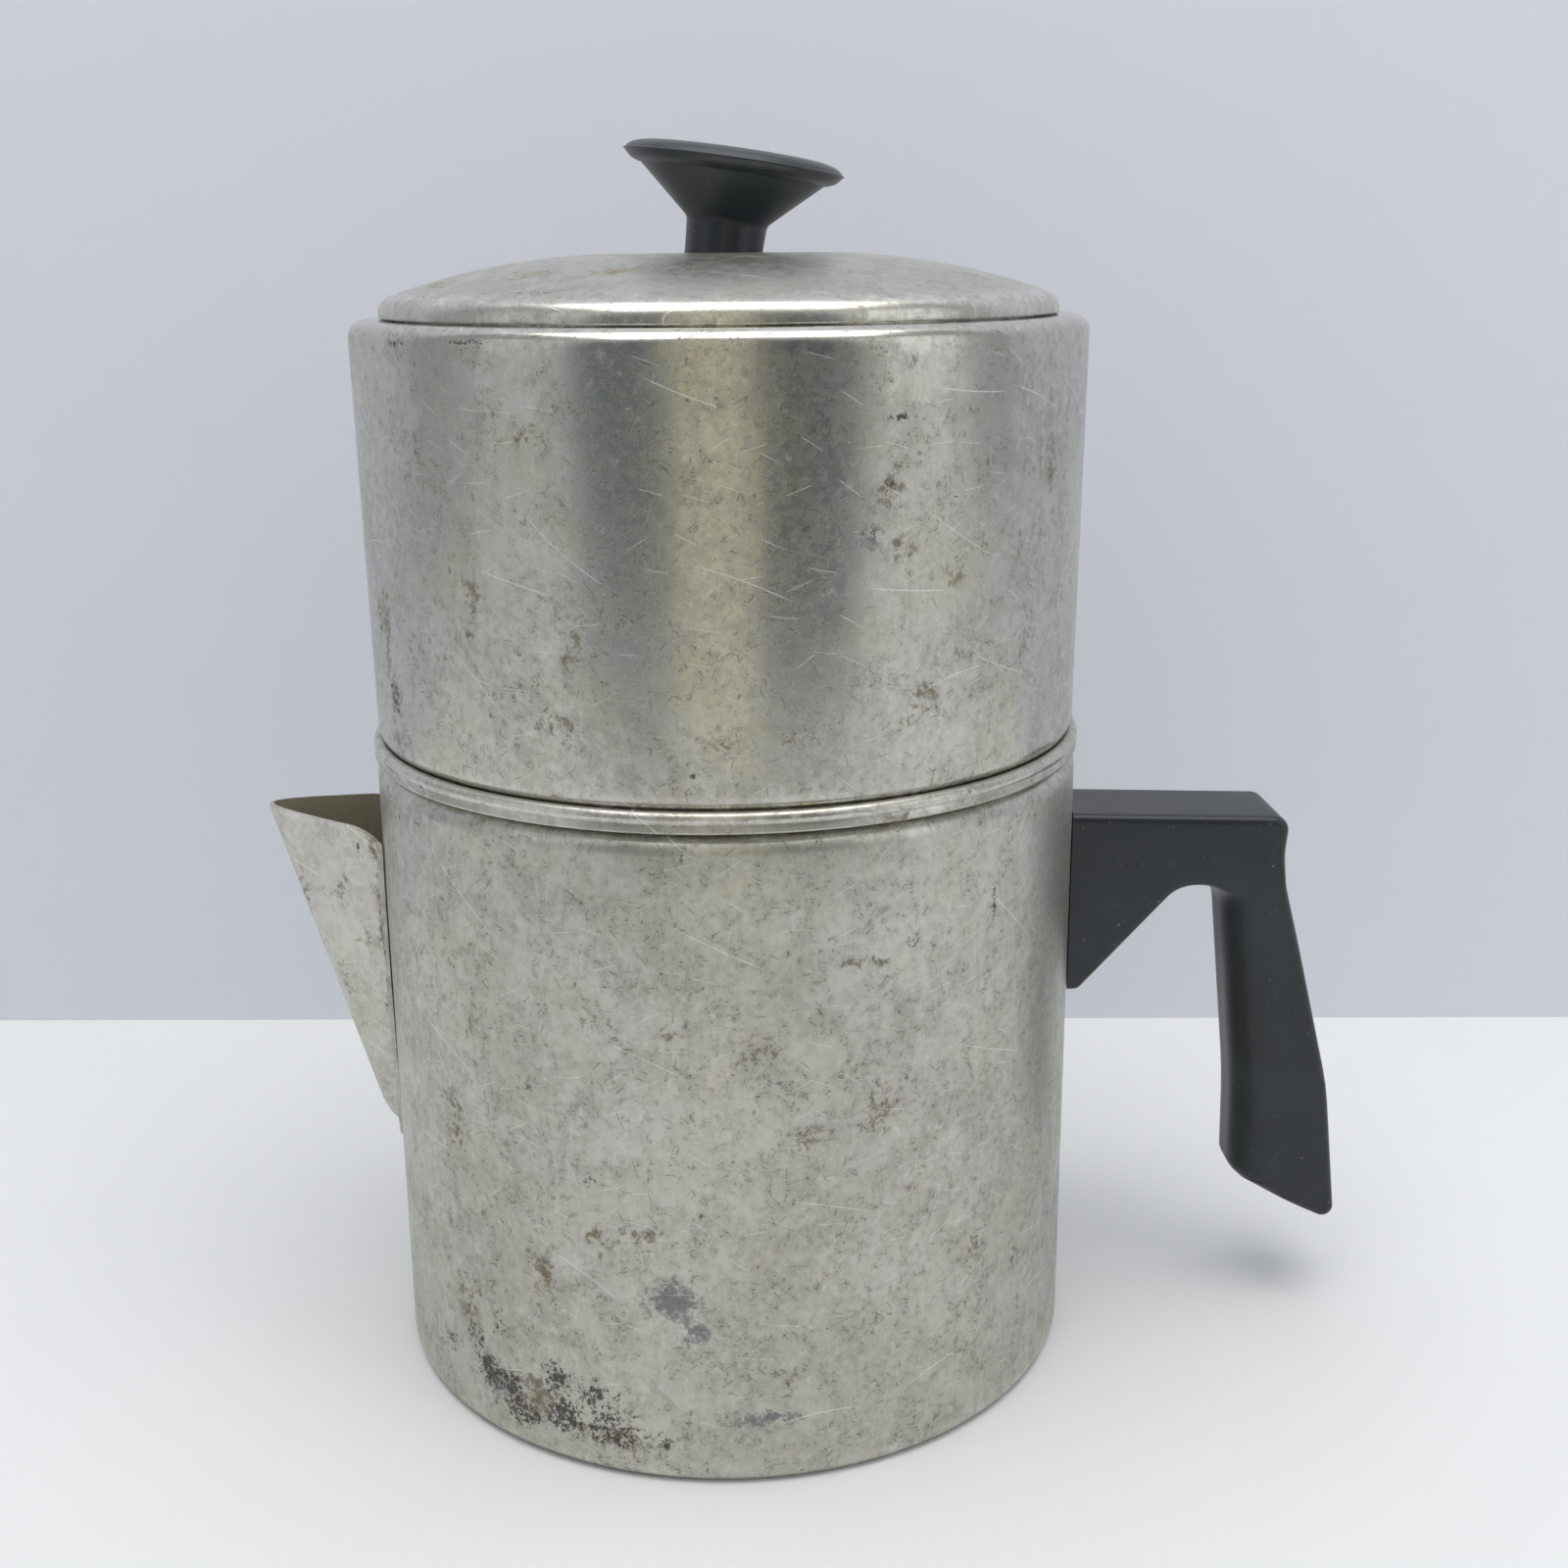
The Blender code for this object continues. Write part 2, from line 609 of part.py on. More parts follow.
def make_reservoir():
    reservoir = turn("reservoir_body", reservoir_profile())
    thicken(reservoir, WALL)
    merge_flats(reservoir)
    perforate(reservoir, DRIP_RINGS, DRIP_HOLE, RESERVOIR_SEAT - SPIGOT_DEPTH, WALL)
    return aluminium(reservoir)


# ---------------------------------------------------------------- lid
def lid_profile():
    """Over the dome from its middle, round the brim, down the skirt and back under the dome."""
    skirt = RESERVOIR_MOUTH - SLIDE_GAP
    skirt_inner = skirt - LID_SHEET
    slope = math.degrees(LID_DOME_SLOPE)
    centre = LID_TOP - LID_DOME_RADIUS
    inner_slope = math.degrees(math.asin((skirt_inner - LID_CROWN_RADIUS) / LID_DOME_RADIUS))
    points = [(0.0, LID_TOP)]
    points += arc(LID_CROWN_RADIUS, centre, LID_DOME_RADIUS, 90.0, 90.0 - slope, 3)
    points += arc(LID_BRIM_CENTRE, LID_SEAT + LID_BAND, LID_EDGE, 90.0 - slope, 0.0, 4)[1:]
    points += [(LID_RADIUS, LID_SEAT + 0.5 * LID_BAND), (LID_RADIUS - 0.5 * LID_BAND, LID_SEAT)]
    points += [(skirt, LID_SEAT), (skirt, LID_SEAT - LID_SKIRT), (skirt_inner, LID_SEAT - LID_SKIRT)]
    points += arc(LID_CROWN_RADIUS, centre, LID_DOME_RADIUS - LID_SHEET,
                  90.0 - inner_slope, 90.0, 3)
    points.append((0.0, LID_TOP - LID_SHEET))
    return points


def make_lid():
    lid = turn("lid_shell", lid_profile())
    merge_flats(lid)
    hole = rods("knob_screw_hole", [Vector((KNOB_OFFSET, 0.0, LID_TOP))],
                SCREW_RADIUS + 3.0 * THREAD_GAP, 6.0 * LID_SHEET, (0.0, 0.0, 1.0), SMALL_STEPS)
    return aluminium(cut(lid, hole))


# ---------------------------------------------------------------- knob
def knob_profile():
    """The knob about its own axis, from the middle of its top down to below its seat."""
    top = KNOB_RIM_HEIGHT + KNOB_DOME
    return [
        (0.0, top), (0.55 * KNOB_RADIUS, top - 0.12 * KNOB_DOME),
        (0.87 * KNOB_RADIUS, KNOB_RIM_HEIGHT + 0.68 * KNOB_DOME),
        (0.95 * KNOB_RADIUS, KNOB_RIM_HEIGHT + 0.42 * KNOB_DOME), (KNOB_RADIUS, KNOB_RIM_HEIGHT),
        (0.5 * (KNOB_RADIUS + KNOB_LIP_RADIUS), KNOB_RIM_HEIGHT - 0.0012),
        (KNOB_LIP_RADIUS, KNOB_LIP_HEIGHT), (0.72 * KNOB_LIP_RADIUS, KNOB_LIP_HEIGHT - 0.0032),
        (KNOB_NECK_RADIUS, KNOB_STEM_HEIGHT), (KNOB_STEM_RADIUS, 0.0), (KNOB_STEM_RADIUS, -0.0040),
        (0.0, -0.0040),
    ]


def make_knob():
    axis = add_empty("knob_axis", (KNOB_OFFSET, 0.0, LID_TOP), (0.0, KNOB_LEAN, 0.0))
    knob = turn("knob", knob_profile(), KNOB_STEPS, parent=axis)
    below = box("lid_plane", (-0.03, -0.03, KNOB_SEAT - 0.02), (0.03, 0.03, KNOB_SEAT))
    cut(knob, below)
    recess = 0.0030
    cut(knob, insert_pocket("knob_pocket", axis, recess))
    bakelite(knob)
    insert_piece("knob_insert", axis, recess)
    washer_seat = -(LID_SHEET + SEAT_GAP) / math.cos(KNOB_LEAN) - WASHER_RADIUS * math.tan(KNOB_LEAN)
    head_seat = washer_seat - WASHER_THICKNESS - SEAT_GAP
    washer_piece("knob_washer", axis, washer_seat - WASHER_THICKNESS)
    seat = add_empty("knob_screw_seat", (0.0, 0.0, head_seat), parent=axis)
    screw_piece("knob_screw", seat, recess + INSERT_LENGTH - INSERT_RECESS - head_seat)


def main():
    clear_scene()
    make_server()
    make_spout()
    make_handle()
    make_basket()
    make_spreader()
    make_reservoir()
    make_lid()
    make_knob()
    bpy.context.view_layer.update()


main()
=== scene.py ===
"""A worn aluminium stove-top drip coffee pot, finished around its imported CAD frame.

The pot stands on z = 0 with its axis on Z. The spout points to -X, the handle to +X, and the
camera stands on the -Y side. Every length is in metres, unless its name ends in mm.
"""

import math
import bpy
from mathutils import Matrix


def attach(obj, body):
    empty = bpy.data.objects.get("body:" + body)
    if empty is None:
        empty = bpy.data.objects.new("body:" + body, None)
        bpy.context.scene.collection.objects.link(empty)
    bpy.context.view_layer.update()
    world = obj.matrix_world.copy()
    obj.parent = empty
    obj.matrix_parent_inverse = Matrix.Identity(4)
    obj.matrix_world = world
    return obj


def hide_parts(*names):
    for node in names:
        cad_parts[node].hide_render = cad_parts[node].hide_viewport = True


bl_info = {
    "name": "Drip Coffee Pot",
    "version": (1, 0, 0),
    "blender": (4, 5, 0),
    "location": "View3D > Sidebar > Coffee Pot",
    "description": "Builds a worn aluminium drip coffee pot and its studio around the CAD frame",
    "category": "Add Mesh",
}

import bmesh
import bpy
import numpy as np
from bpy.props import FloatProperty, FloatVectorProperty, IntProperty, PointerProperty
from mathutils import Matrix, Vector

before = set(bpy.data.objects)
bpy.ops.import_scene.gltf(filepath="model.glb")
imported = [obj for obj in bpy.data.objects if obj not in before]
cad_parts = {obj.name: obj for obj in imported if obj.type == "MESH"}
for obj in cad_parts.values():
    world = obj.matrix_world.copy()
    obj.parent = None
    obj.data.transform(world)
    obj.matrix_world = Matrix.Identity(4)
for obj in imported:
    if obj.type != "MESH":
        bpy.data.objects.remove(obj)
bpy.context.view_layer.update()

MM = 0.001
TAU = 2.0 * math.pi
SEAT_GAP = 0.3 * MM          # between faces that rest on each other
SLIDE_GAP = 0.6 * MM         # round a piece that slides into a mouth
WELD = 0.002 * MM            # points closer than this are one point
FINE, COARSE = 2.2 * MM, 6.0 * MM   # how far apart an outline's points may stand
EDGE = 0.3 * MM              # how far a cut edge of sheet is softened
STILL = (0.0, 0.0, 0.0)
EAST = (0.0, 0.5 * math.pi, 0.0)   # turns a tool or a screw from +Z to +X


# ---------------------------------------------------------------- settings
def length(name, mm, about):
    return FloatProperty(name=name, description=about, default=mm * MM, unit="LENGTH", precision=5)


def colour(name, value, about):
    return FloatVectorProperty(name=name, description=about, default=value, subtype="COLOR",
                               size=3, min=0.0, max=1.0)


class PotSizes(bpy.types.PropertyGroup):
    """Sizes of the pot. The defaults are the CAD model's own."""
    radius: length("Pot Radius", 66.4, "Outer radius of the server")
    height: length("Server Height", 119.9, "Height of the server's shoulder")
    wall: length("Wall", 1.3, "Thickness of the server's and the reservoir's walls")
    shoulder: length("Shoulder", 3.6, "Radius of the server's upper corner")
    base: length("Base Corner", 2.5, "Radius of the server's lower corner")
    ledge: length("Ledge", 7.4, "From the outside of a pot to the edge of its mouth")
    basket_sheet: length("Basket Sheet", 0.95, "Thickness of the coffee basket")
    basket_depth: length("Basket Depth", 48.0, "From the shoulder down to the basket's floor")
    basket_step: length("Basket Step", 2.4, "Width of the step that carries the spreader")
    reservoir_height: length("Reservoir Height", 76.4, "From the reservoir's step to its rim")
    taper: length("Reservoir Taper", 0.8, "How much narrower the reservoir's foot is")
    lid_edge: length("Brim", 3.3, "Radius of the lid's rolled brim")
    dome: length("Dome", 125.0, "Radius of the lid's dome")
    knob_radius: length("Knob Radius", 19.9, "Radius of the knob's rim")
    knob_lean: FloatProperty(name="Knob Lean", description="How far the knob leans to the handle",
                             default=math.radians(8.0), subtype="ANGLE")
    spout_reach: length("Spout Reach", 22.1, "From the wall to the inside of the spout's lip")
    spout_sheet: length("Spout Sheet", 0.9, "Thickness of the spout's sheet")
    handle_thickness: length("Handle Thickness", 20.0, "Width of the handle across the pot")
    screw_radius: length("Screw Radius", 1.9, "Radius of the screws' thread")
    hole_radius: length("Basket Hole", 1.3, "Radius of the holes in the basket's floor")
    turns: IntProperty(name="Facets", description="Facets round a turned piece", default=192,
                       min=24, max=360)


class PotFinish(bpy.types.PropertyGroup):
    """Colours of the pot's finishes."""
    bright: colour("Bright Aluminium", (0.565, 0.558, 0.510), "Aluminium where it is rubbed clean")
    dull: colour("Dull Aluminium", (0.385, 0.378, 0.335), "Aluminium that has oxidised")
    tan: colour("Coffee Tan", (0.165, 0.127, 0.062), "Thin dried coffee")
    burnt: colour("Burnt Brown", (0.040, 0.034, 0.024), "Coffee burnt on by the flame")
    # the smoke colour also paints the reservoir's two faint reflection bands
    smoke_and_reflection: colour("Blue Smoke and Reflection", (0.145, 0.150, 0.165), "Blue-grey heat marks and painted reflection bands")
    bakelite: colour("Bakelite", (0.0215, 0.0270, 0.0310), "Moulded bakelite")
    brass: colour("Brass", (0.60, 0.43, 0.18), "Threaded inserts")
    steel: colour("Steel", (0.52, 0.53, 0.54), "Screws and washers")


class StudioSettings(bpy.types.PropertyGroup):
    """The floor, the backdrop and the lights."""
    wall_distance: length("Wall Distance", 144.3, "From the pot's axis back to the wall")
    wall_turn: FloatProperty(name="Wall Turn", description="How far the wall is turned aside",
                             default=math.radians(-2.66), subtype="ANGLE")
    floor: colour("Floor", (0.86, 0.875, 0.87), "Paint of the floor")
    backdrop: colour("Backdrop", (0.74, 0.757, 0.818), "Paint of the wall")
    sky: FloatProperty(name="Fill", description="Strength of the light from all round",
                       default=0.44, min=0.0)
    key: FloatProperty(name="Key", description="Power of the soft light overhead", default=9.6,
                       min=0.0, unit="POWER")
    left: FloatProperty(name="Left", description="Power of the soft light at the spout's side",
                        default=0.7, min=0.0, unit="POWER")
    right: FloatProperty(name="Right", description="Power of the soft light at the handle's side",
                         default=1.65, min=0.0, unit="POWER")


# ---------------------------------------------------------------- node trees as expressions
class Value:
    """An output socket that is written like a number: value * 2, 1 - value, value + other."""

    def __init__(self, graph, socket):
        self.graph = graph
        self.socket = socket

    def also(self, name):
        """Another output of the same node."""
        return Value(self.graph, self.socket.node.outputs[name])

    def __add__(self, other):
        return self.graph.math("ADD", self, other)

    def __sub__(self, other):
        return self.graph.math("SUBTRACT", self, other)

    def __rsub__(self, other):
        return self.graph.math("SUBTRACT", other, self)

    def __mul__(self, other):
        return self.graph.math("MULTIPLY", self, other)

    def __truediv__(self, other):
        return self.graph.math("DIVIDE", self, other)

    def __neg__(self):
        return self.graph.math("MULTIPLY", self, -1.0)

    def __abs__(self):
        return self.graph.math("ABSOLUTE", self)

    __radd__ = __add__
    __rmul__ = __mul__


class Graph:
    """Adds nodes to a shader or geometry tree."""

    def __init__(self, tree):
        self.tree = tree

    def node(self, kind, settings=None, inputs=None, output=0):
        made = self.tree.nodes.new(kind)
        for name, setting in (settings or {}).items():
            if name == "stops":
                ramp = made.color_ramp
                while len(ramp.elements) < len(setting):
                    ramp.elements.new(1.0)
                for element, (position, tone) in zip(ramp.elements, setting):
                    element.position = position
                    element.color = (*tone, 1.0)
            else:
                setattr(made, name, setting)
        for name, value in (inputs or {}).items():
            self.feed(made.inputs[name], value)
        return Value(self, made.outputs[output]) if len(made.outputs) else made

    def feed(self, socket, value):
        if isinstance(value, Value):
            self.tree.links.new(value.socket, socket)
        else:
            socket.default_value = value

    def math(self, operation, *values):
        return self.node("ShaderNodeMath", {"operation": operation}, dict(enumerate(values)))

    def vector(self, operation, *values, output=0):
        return self.node("ShaderNodeVectorMath", {"operation": operation},
                         dict(enumerate(values)), output)

    def split(self, vector):
        parts = self.node("ShaderNodeSeparateXYZ", None, {"Vector": vector})
        return parts, parts.also("Y"), parts.also("Z")

    def join(self, x, y, z):
        return self.node("ShaderNodeCombineXYZ", None, {"X": x, "Y": y, "Z": z})

    def smooth(self, value, low, high):
        """0 below low and 1 above high, or the other way round where low is the larger."""
        return self.node("ShaderNodeMapRange", {"interpolation_type": "SMOOTHSTEP"},
                         {"Value": value, "From Min": low, "From Max": high})

    def mix(self, amount, first, second):
        """A colour between two colours."""
        made = self.tree.nodes.new("ShaderNodeMix")
        made.data_type = "RGBA"
        self.feed(made.inputs[0], amount)
        for index, tone in ((6, first), (7, second)):
            self.feed(made.inputs[index], tone if isinstance(tone, Value) else (*tone, 1.0))
        return Value(self, made.outputs[2])

    def scaled(self, tone, amount):
        """A colour made lighter or darker by a value."""
        made = self.tree.nodes.new("ShaderNodeVectorMath")
        made.operation = "SCALE"
        self.feed(made.inputs[0], tone)
        self.feed(made.inputs["Scale"], amount)
        return Value(self, made.outputs[0])

    def noise(self, place, scale, detail=3.0, roughness=0.55, warp=0.0):
        return self.node("ShaderNodeTexNoise", None, {"Vector": place, "Scale": scale,
                         "Detail": detail, "Roughness": roughness, "Distortion": warp})


# ---------------------------------------------------------------- finishes
def new_finish(name):
    """A material with an empty graph, and its surface shader."""
    material = bpy.data.materials.new(name)
    material.use_nodes = True
    shader = material.node_tree.nodes["Principled BSDF"]
    return material, Graph(material.node_tree), shader


def object_mm(graph):
    """Place on the piece in millimetres."""
    place = graph.node("ShaderNodeTexCoord", output="Object")
    return graph.node("ShaderNodeMapping", None, {"Vector": place, "Scale": (1000.0,) * 3})


def add_relief(graph, shader, height, strength, depth=MM):
    """Raises the finish by a height, which is in millimetres where the depth is one."""
    bump = graph.node("ShaderNodeBump", None, {"Height": height, "Strength": strength,
                                               "Distance": depth})
    graph.feed(shader.inputs["Normal"], bump)


def scratch_layer(graph, across, up, cell, half_length, half_width, share, lean=0.0, fan=TAU):
    """Short straight scratches, one to a cell, turned about a lean. 1 is in a scratch."""
    flat = graph.join(across, up, 0.0)
    cells = graph.node("ShaderNodeTexVoronoi", {"voronoi_dimensions": "2D"},
                       {"Vector": flat, "Scale": 1.0 / cell}, "Position")
    tint = graph.node("ShaderNodeSeparateColor", None, {"Color": cells.also("Color")})
    away = graph.vector("SUBTRACT", flat, cells)
    x, y, _ = graph.split(away)
    angle = (tint - 0.5) * fan + lean
    cosine, sine = graph.math("COSINE", angle), graph.math("SINE", angle)
    along = x * cosine + y * sine
    bow = along * along * (tint.also("Blue") - 0.5) * 0.03
    aside = abs(y * cosine - x * sine + bow)
    kept = graph.smooth(tint.also("Green"), 1.0 - share, 1.02 - share)
    return (graph.smooth(aside, half_width, 0.3 * half_width)
            * graph.smooth(abs(along), half_length, 0.5 * half_length) * kept)


def hairlines(graph, place, scale, half_width, broken, clustered):
    """Thin wandering lines in broken pieces, thick where they cluster. 1 is on a line."""
    wander = graph.noise(place, scale, 3.0, 0.62, 1.4)
    return (graph.smooth(abs(wander - 0.5), half_width, 0.3 * half_width)
            * graph.smooth(broken, 0.46, 0.54) * clustered)


WALL_RADIUS_MM = 66.0


def flat_places(graph, place, plane):
    """Two flat coordinates in millimetres that follow a wall, a lid or a side."""
    x, y, z = graph.split(place)
    if plane == "wall":
        return graph.math("ARCTAN2", x, -y) * WALL_RADIUS_MM, z
    if plane == "lid":
        return x, y
    return x, z


# how the metal was drawn: streaks run up the walls and across the lid
DRAWN = {"wall": (1.0, 1.0, 0.32), "side": (1.0, 1.0, 0.32), "lid": (1.0, 0.6, 1.0)}
OXIDE_GREY, WATER_MARK = (0.300, 0.303, 0.295), (0.66, 0.665, 0.645)
YELLOWED, ROSY = (0.50, 0.475, 0.365), (0.53, 0.475, 0.440)
SCRATCH_WHITE, HAIRLINE_BROWN = (0.88, 0.88, 0.86), (0.115, 0.105, 0.080)
FILLER_BROWN, DUST, RUBBED_GREY = (0.060, 0.046, 0.034), (0.30, 0.30, 0.29), (0.20, 0.21, 0.21)


class Wear:
    """The painted marks and the noises that every layer of a worn finish is made from."""

    def __init__(self, graph, place, plane):
        marks = graph.node("ShaderNodeVertexColor", {"layer_name": "marks"}, output="Color")
        self.soot, self.coffee, self.smoke_and_reflection = graph.split(marks)
        self.rubbed = marks.also("Alpha")
        self.drawn = graph.node("ShaderNodeMapping", None,
                                {"Vector": place, "Scale": DRAWN[plane]})
        # from the size of a hand down to a grain of salt
        self.cloud = graph.noise(place, 0.035, 3.0)
        self.patch = graph.noise(place, 0.15, 5.0, 0.68, 0.4)
        self.mottle = graph.noise(place, 0.62, 5.0, 0.68)
        self.grain = graph.noise(place, 2.6, 3.0, 0.60)
        self.streak = graph.noise(self.drawn, 0.75, 4.0, 0.60)


def bare_metal(graph, place, wear, finish, tarnish):
    """Bright metal, dulled in patches. Returns its colour, the dulling, the oxide, the bloom."""
    dulling = graph.smooth((wear.cloud - 0.5) * 0.7 + (wear.patch - 0.5) * 1.0
                           + (wear.streak - 0.5) * 0.45 + (wear.mottle - 0.5) * 0.85
                           + (tarnish - 0.5) * 0.5 + 0.5, 0.12, 0.90)
    base = graph.mix(dulling, tuple(finish.bright), tuple(finish.dull))
    # a little yellow or rosy in places
    hue = graph.noise(place, 0.060, 4.0, 0.62)
    base = graph.mix(graph.smooth(hue, 0.50, 0.68) * 0.45, base, YELLOWED)
    base = graph.mix(graph.smooth(hue, 0.48, 0.30) * 0.30, base, ROSY)
    # grey oxide and pale water marks, at the scale of a fingertip
    oxide = graph.smooth(graph.noise(wear.drawn, 0.30, 6.0, 0.74, 0.8), 0.55, 0.72)
    base = graph.mix(oxide * 0.34, base, OXIDE_GREY)
    bloom = graph.smooth(graph.noise(place, 0.42, 6.0, 0.74, 1.0) + wear.rubbed * 0.08,
                         0.575, 0.68)
    return graph.mix(bloom * 0.40, base, WATER_MARK), dulling, oxide, bloom


def stains(graph, place, wear, finish, base, stain):
    """Dried coffee, heat marks and painted reflection bands over a colour. Returns the colour, the
    coffee, the haze.
    """
    # thin tan patches with broken edges, and flecks near them
    film = graph.noise(place, 0.50, 6.0, 0.74, 0.9)
    tan = graph.smooth(film + wear.coffee * 0.27 + (wear.patch - 0.5) * 0.32,
                       0.675 - 0.08 * stain, 0.775 - 0.08 * stain)
    tan = tan * (0.30 + 0.70 * graph.smooth(wear.mottle, 0.40, 0.56))
    base = graph.mix(tan * 0.80, base, tuple(finish.tan))
    # the haze holds blue-grey heat marks, and on the reservoir two painted reflection bands
    haze = graph.smooth(wear.smoke_and_reflection + (wear.mottle - 0.5) * 2.2 + (wear.grain - 0.5) * 1.4,
                        0.42, 0.98)
    return graph.mix(haze * 0.78, base, tuple(finish.smoke_and_reflection)), tan, haze


def burnt_on(graph, place, wear, finish, base, specks, pits):
    """Peppery soot, hairlines, specks and pits. Returns the colour, the black, the lines."""
    pepper = graph.noise(place, 1.05, 5.0, 0.72, 0.7)
    char = graph.smooth(wear.soot * 0.46 + (pepper - 0.5) * 1.05 + (wear.patch - 0.5) * 0.25,
                        0.300, 0.380)
    speck = graph.smooth(pepper + (wear.patch - 0.5) * 0.30, 0.755 - 0.04 * specks,
                         0.79 - 0.04 * specks)
    lines = hairlines(graph, place, 0.30, 0.019, wear.mottle,
                      graph.smooth(wear.patch, 0.42, 0.56))
    black = graph.math("MAXIMUM", char, speck * 0.85)
    for centre_mm, radius_mm in pits:
        off = graph.vector("SUBTRACT", place, tuple(centre_mm))
        wide = (graph.vector("LENGTH", off, output="Value")
                + (wear.mottle - 0.5) * radius_mm * 1.6)
        black = graph.math("MAXIMUM", black, graph.smooth(wide, radius_mm, 0.7 * radius_mm))
    base = graph.mix(lines * specks, base, HAIRLINE_BROWN)
    return graph.mix(black * 0.93, base, tuple(finish.burnt)), black, lines


def worn_aluminium(name, finish, plane="wall", tone=1.0, rough=0.36, tarnish=0.5, stain=0.5,
                   specks=0.5, pits=(), inside=None):
    """Aluminium with mottling, dried coffee, burnt marks, hairlines, pits and scratches.

    The inside is a colour and a function of the graph and the place that says where it is.
    """
    material, graph, shader = new_finish(name)
    place = object_mm(graph)
    wear = Wear(graph, place, plane)
    base, dulling, oxide, bloom = bare_metal(graph, place, wear, finish, tarnish)
    base, tan, haze = stains(graph, place, wear, finish, base, stain)
    base, black, lines = burnt_on(graph, place, wear, finish, base, specks, pits)

    across, up = flat_places(graph, place, plane)
    nick = scratch_layer(graph, across + 3.0, up * 1.1, 5.2, 1.3, 0.17, 0.30)
    base = graph.mix(nick * 0.55 * specks, base, HAIRLINE_BROWN)
    fine = scratch_layer(graph, across, up, 6.5, 2.9, 0.085, 0.42, 0.0, 1.3)
    long = scratch_layer(graph, across + up * 0.3, up, 21.0, 8.5, 0.12, 0.50, -0.35, 1.2)
    scratch = graph.math("MAXIMUM", fine * 0.75, long) * (1.0 - black)
    base = graph.mix(scratch * 0.55, base, SCRATCH_WHITE)
    base = graph.scaled(base, (0.91 + wear.grain * 0.18 + wear.rubbed * 0.14) * tone)
    stained = 0.0
    if inside is not None:
        brown, depth = inside
        stained = depth(graph, place) * (0.62 + 0.3 * wear.patch)
        base = graph.mix(stained, base, brown)

    shader.inputs["IOR"].default_value = 1.5
    graph.feed(shader.inputs["Base Color"], base)
    chalky = (tan * 0.55 + black * 0.9 + haze * 0.25 + scratch * 0.55 + bloom * 0.22
              + lines * 0.4 + dulling * 0.08 + stained * 0.6)
    graph.feed(shader.inputs["Metallic"], 1.0 - graph.math("MINIMUM", chalky, 1.0))
    polish = (rough + dulling * 0.09 + (wear.mottle - 0.5) * 0.16 + tan * 0.12 + black * 0.22
              + oxide * 0.06 - wear.rubbed * 0.10)
    graph.feed(shader.inputs["Roughness"], polish)
    relief = (wear.cloud * 0.30 + wear.patch * 0.030 + wear.mottle * 0.012
              + wear.grain * 0.0035 - scratch * 0.010 - black * 0.010 + tan * 0.006)
    add_relief(graph, shader, relief, 0.9)
    return material


def moulded_bakelite(name, finish, tone=1.0):
    """Satin black bakelite with a dull bloom, rubbing marks, dust and a little brown filler."""
    material, graph, shader = new_finish(name)
    place = object_mm(graph)
    cloud = graph.noise(place, 0.045, 4.0, 0.6)
    filler = graph.noise(place, 1.6, 4.0, 0.6)
    grain = graph.noise(place, 6.0, 2.0)
    base = graph.mix(graph.smooth(cloud, 0.35, 0.68), tuple(tone * c for c in finish.bakelite),
                     tuple(1.55 * tone * c for c in finish.bakelite))
    base = graph.mix(graph.smooth(filler, 0.66, 0.74) * 0.5, base, FILLER_BROWN)
    dust = graph.smooth(graph.noise(place, 1.05, 2.0, 0.5), 0.735, 0.765)
    base = graph.mix(dust * 0.55, base, DUST)
    across, up = flat_places(graph, place, "side")
    rub = scratch_layer(graph, across, up, 9.0, 4.2, 0.06, 0.5)
    base = graph.mix(rub * 0.22, base, RUBBED_GREY)
    graph.feed(shader.inputs["Base Color"], base)
    graph.feed(shader.inputs["Roughness"], 0.36 + (cloud - 0.5) * 0.22 + (filler - 0.5) * 0.10
               + dust * 0.3 + rub * 0.08)
    shader.inputs["Specular IOR Level"].default_value = 0.45
    relief = cloud * 0.05 + filler * 0.004 + grain * 0.0018 - rub * 0.006 + dust * 0.010
    add_relief(graph, shader, relief, 0.8)
    return material


def turned_metal(name, tone, spent, rough):
    """Small turned hardware: tool lines round the piece, dull patches and dark dirt."""
    material, graph, shader = new_finish(name)
    place = object_mm(graph)
    patch = graph.noise(place, 0.55, 4.0, 0.6)
    grain = graph.noise(place, 5.0, 3.0)
    lines = graph.noise(graph.node("ShaderNodeMapping", None,
                        {"Vector": place, "Scale": (6.0, 0.6, 6.0)}), 1.0, 2.0)
    base = graph.mix(graph.smooth(patch, 0.40, 0.66) * 0.7, tone, spent)
    base = graph.scaled(base, 0.88 + grain * 0.22)
    graph.feed(shader.inputs["Base Color"], base)
    graph.feed(shader.inputs["Metallic"], 1.0 - graph.smooth(patch, 0.56, 0.72) * 0.35)
    graph.feed(shader.inputs["Roughness"], rough + patch * 0.22 + (lines - 0.5) * 0.16)
    relief = lines * 0.006 + grain * 0.003
    add_relief(graph, shader, relief, 0.8)
    return material


# ---------------------------------------------------------------- outlines
def arc(centre_r, centre_z, radius, start, end, count=9):
    """Points on an arc, from the start angle to the end angle, in degrees from +X towards +Z."""
    angles = [math.radians(start + (end - start) * i / count) for i in range(count + 1)]
    return [(centre_r + radius * math.cos(a), centre_z + radius * math.sin(a)) for a in angles]


def spaced(points, step):
    """The same outline with points added, so that none are further apart than the step."""
    finer = [points[0]]
    for (r0, z0), (r1, z1) in zip(points, points[1:]):
        count = max(1, math.ceil(math.hypot(r1 - r0, z1 - z0) / step))
        finer += [(r0 + (r1 - r0) * k / count, z0 + (z1 - z0) * k / count)
                  for k in range(1, count + 1)]
    return finer


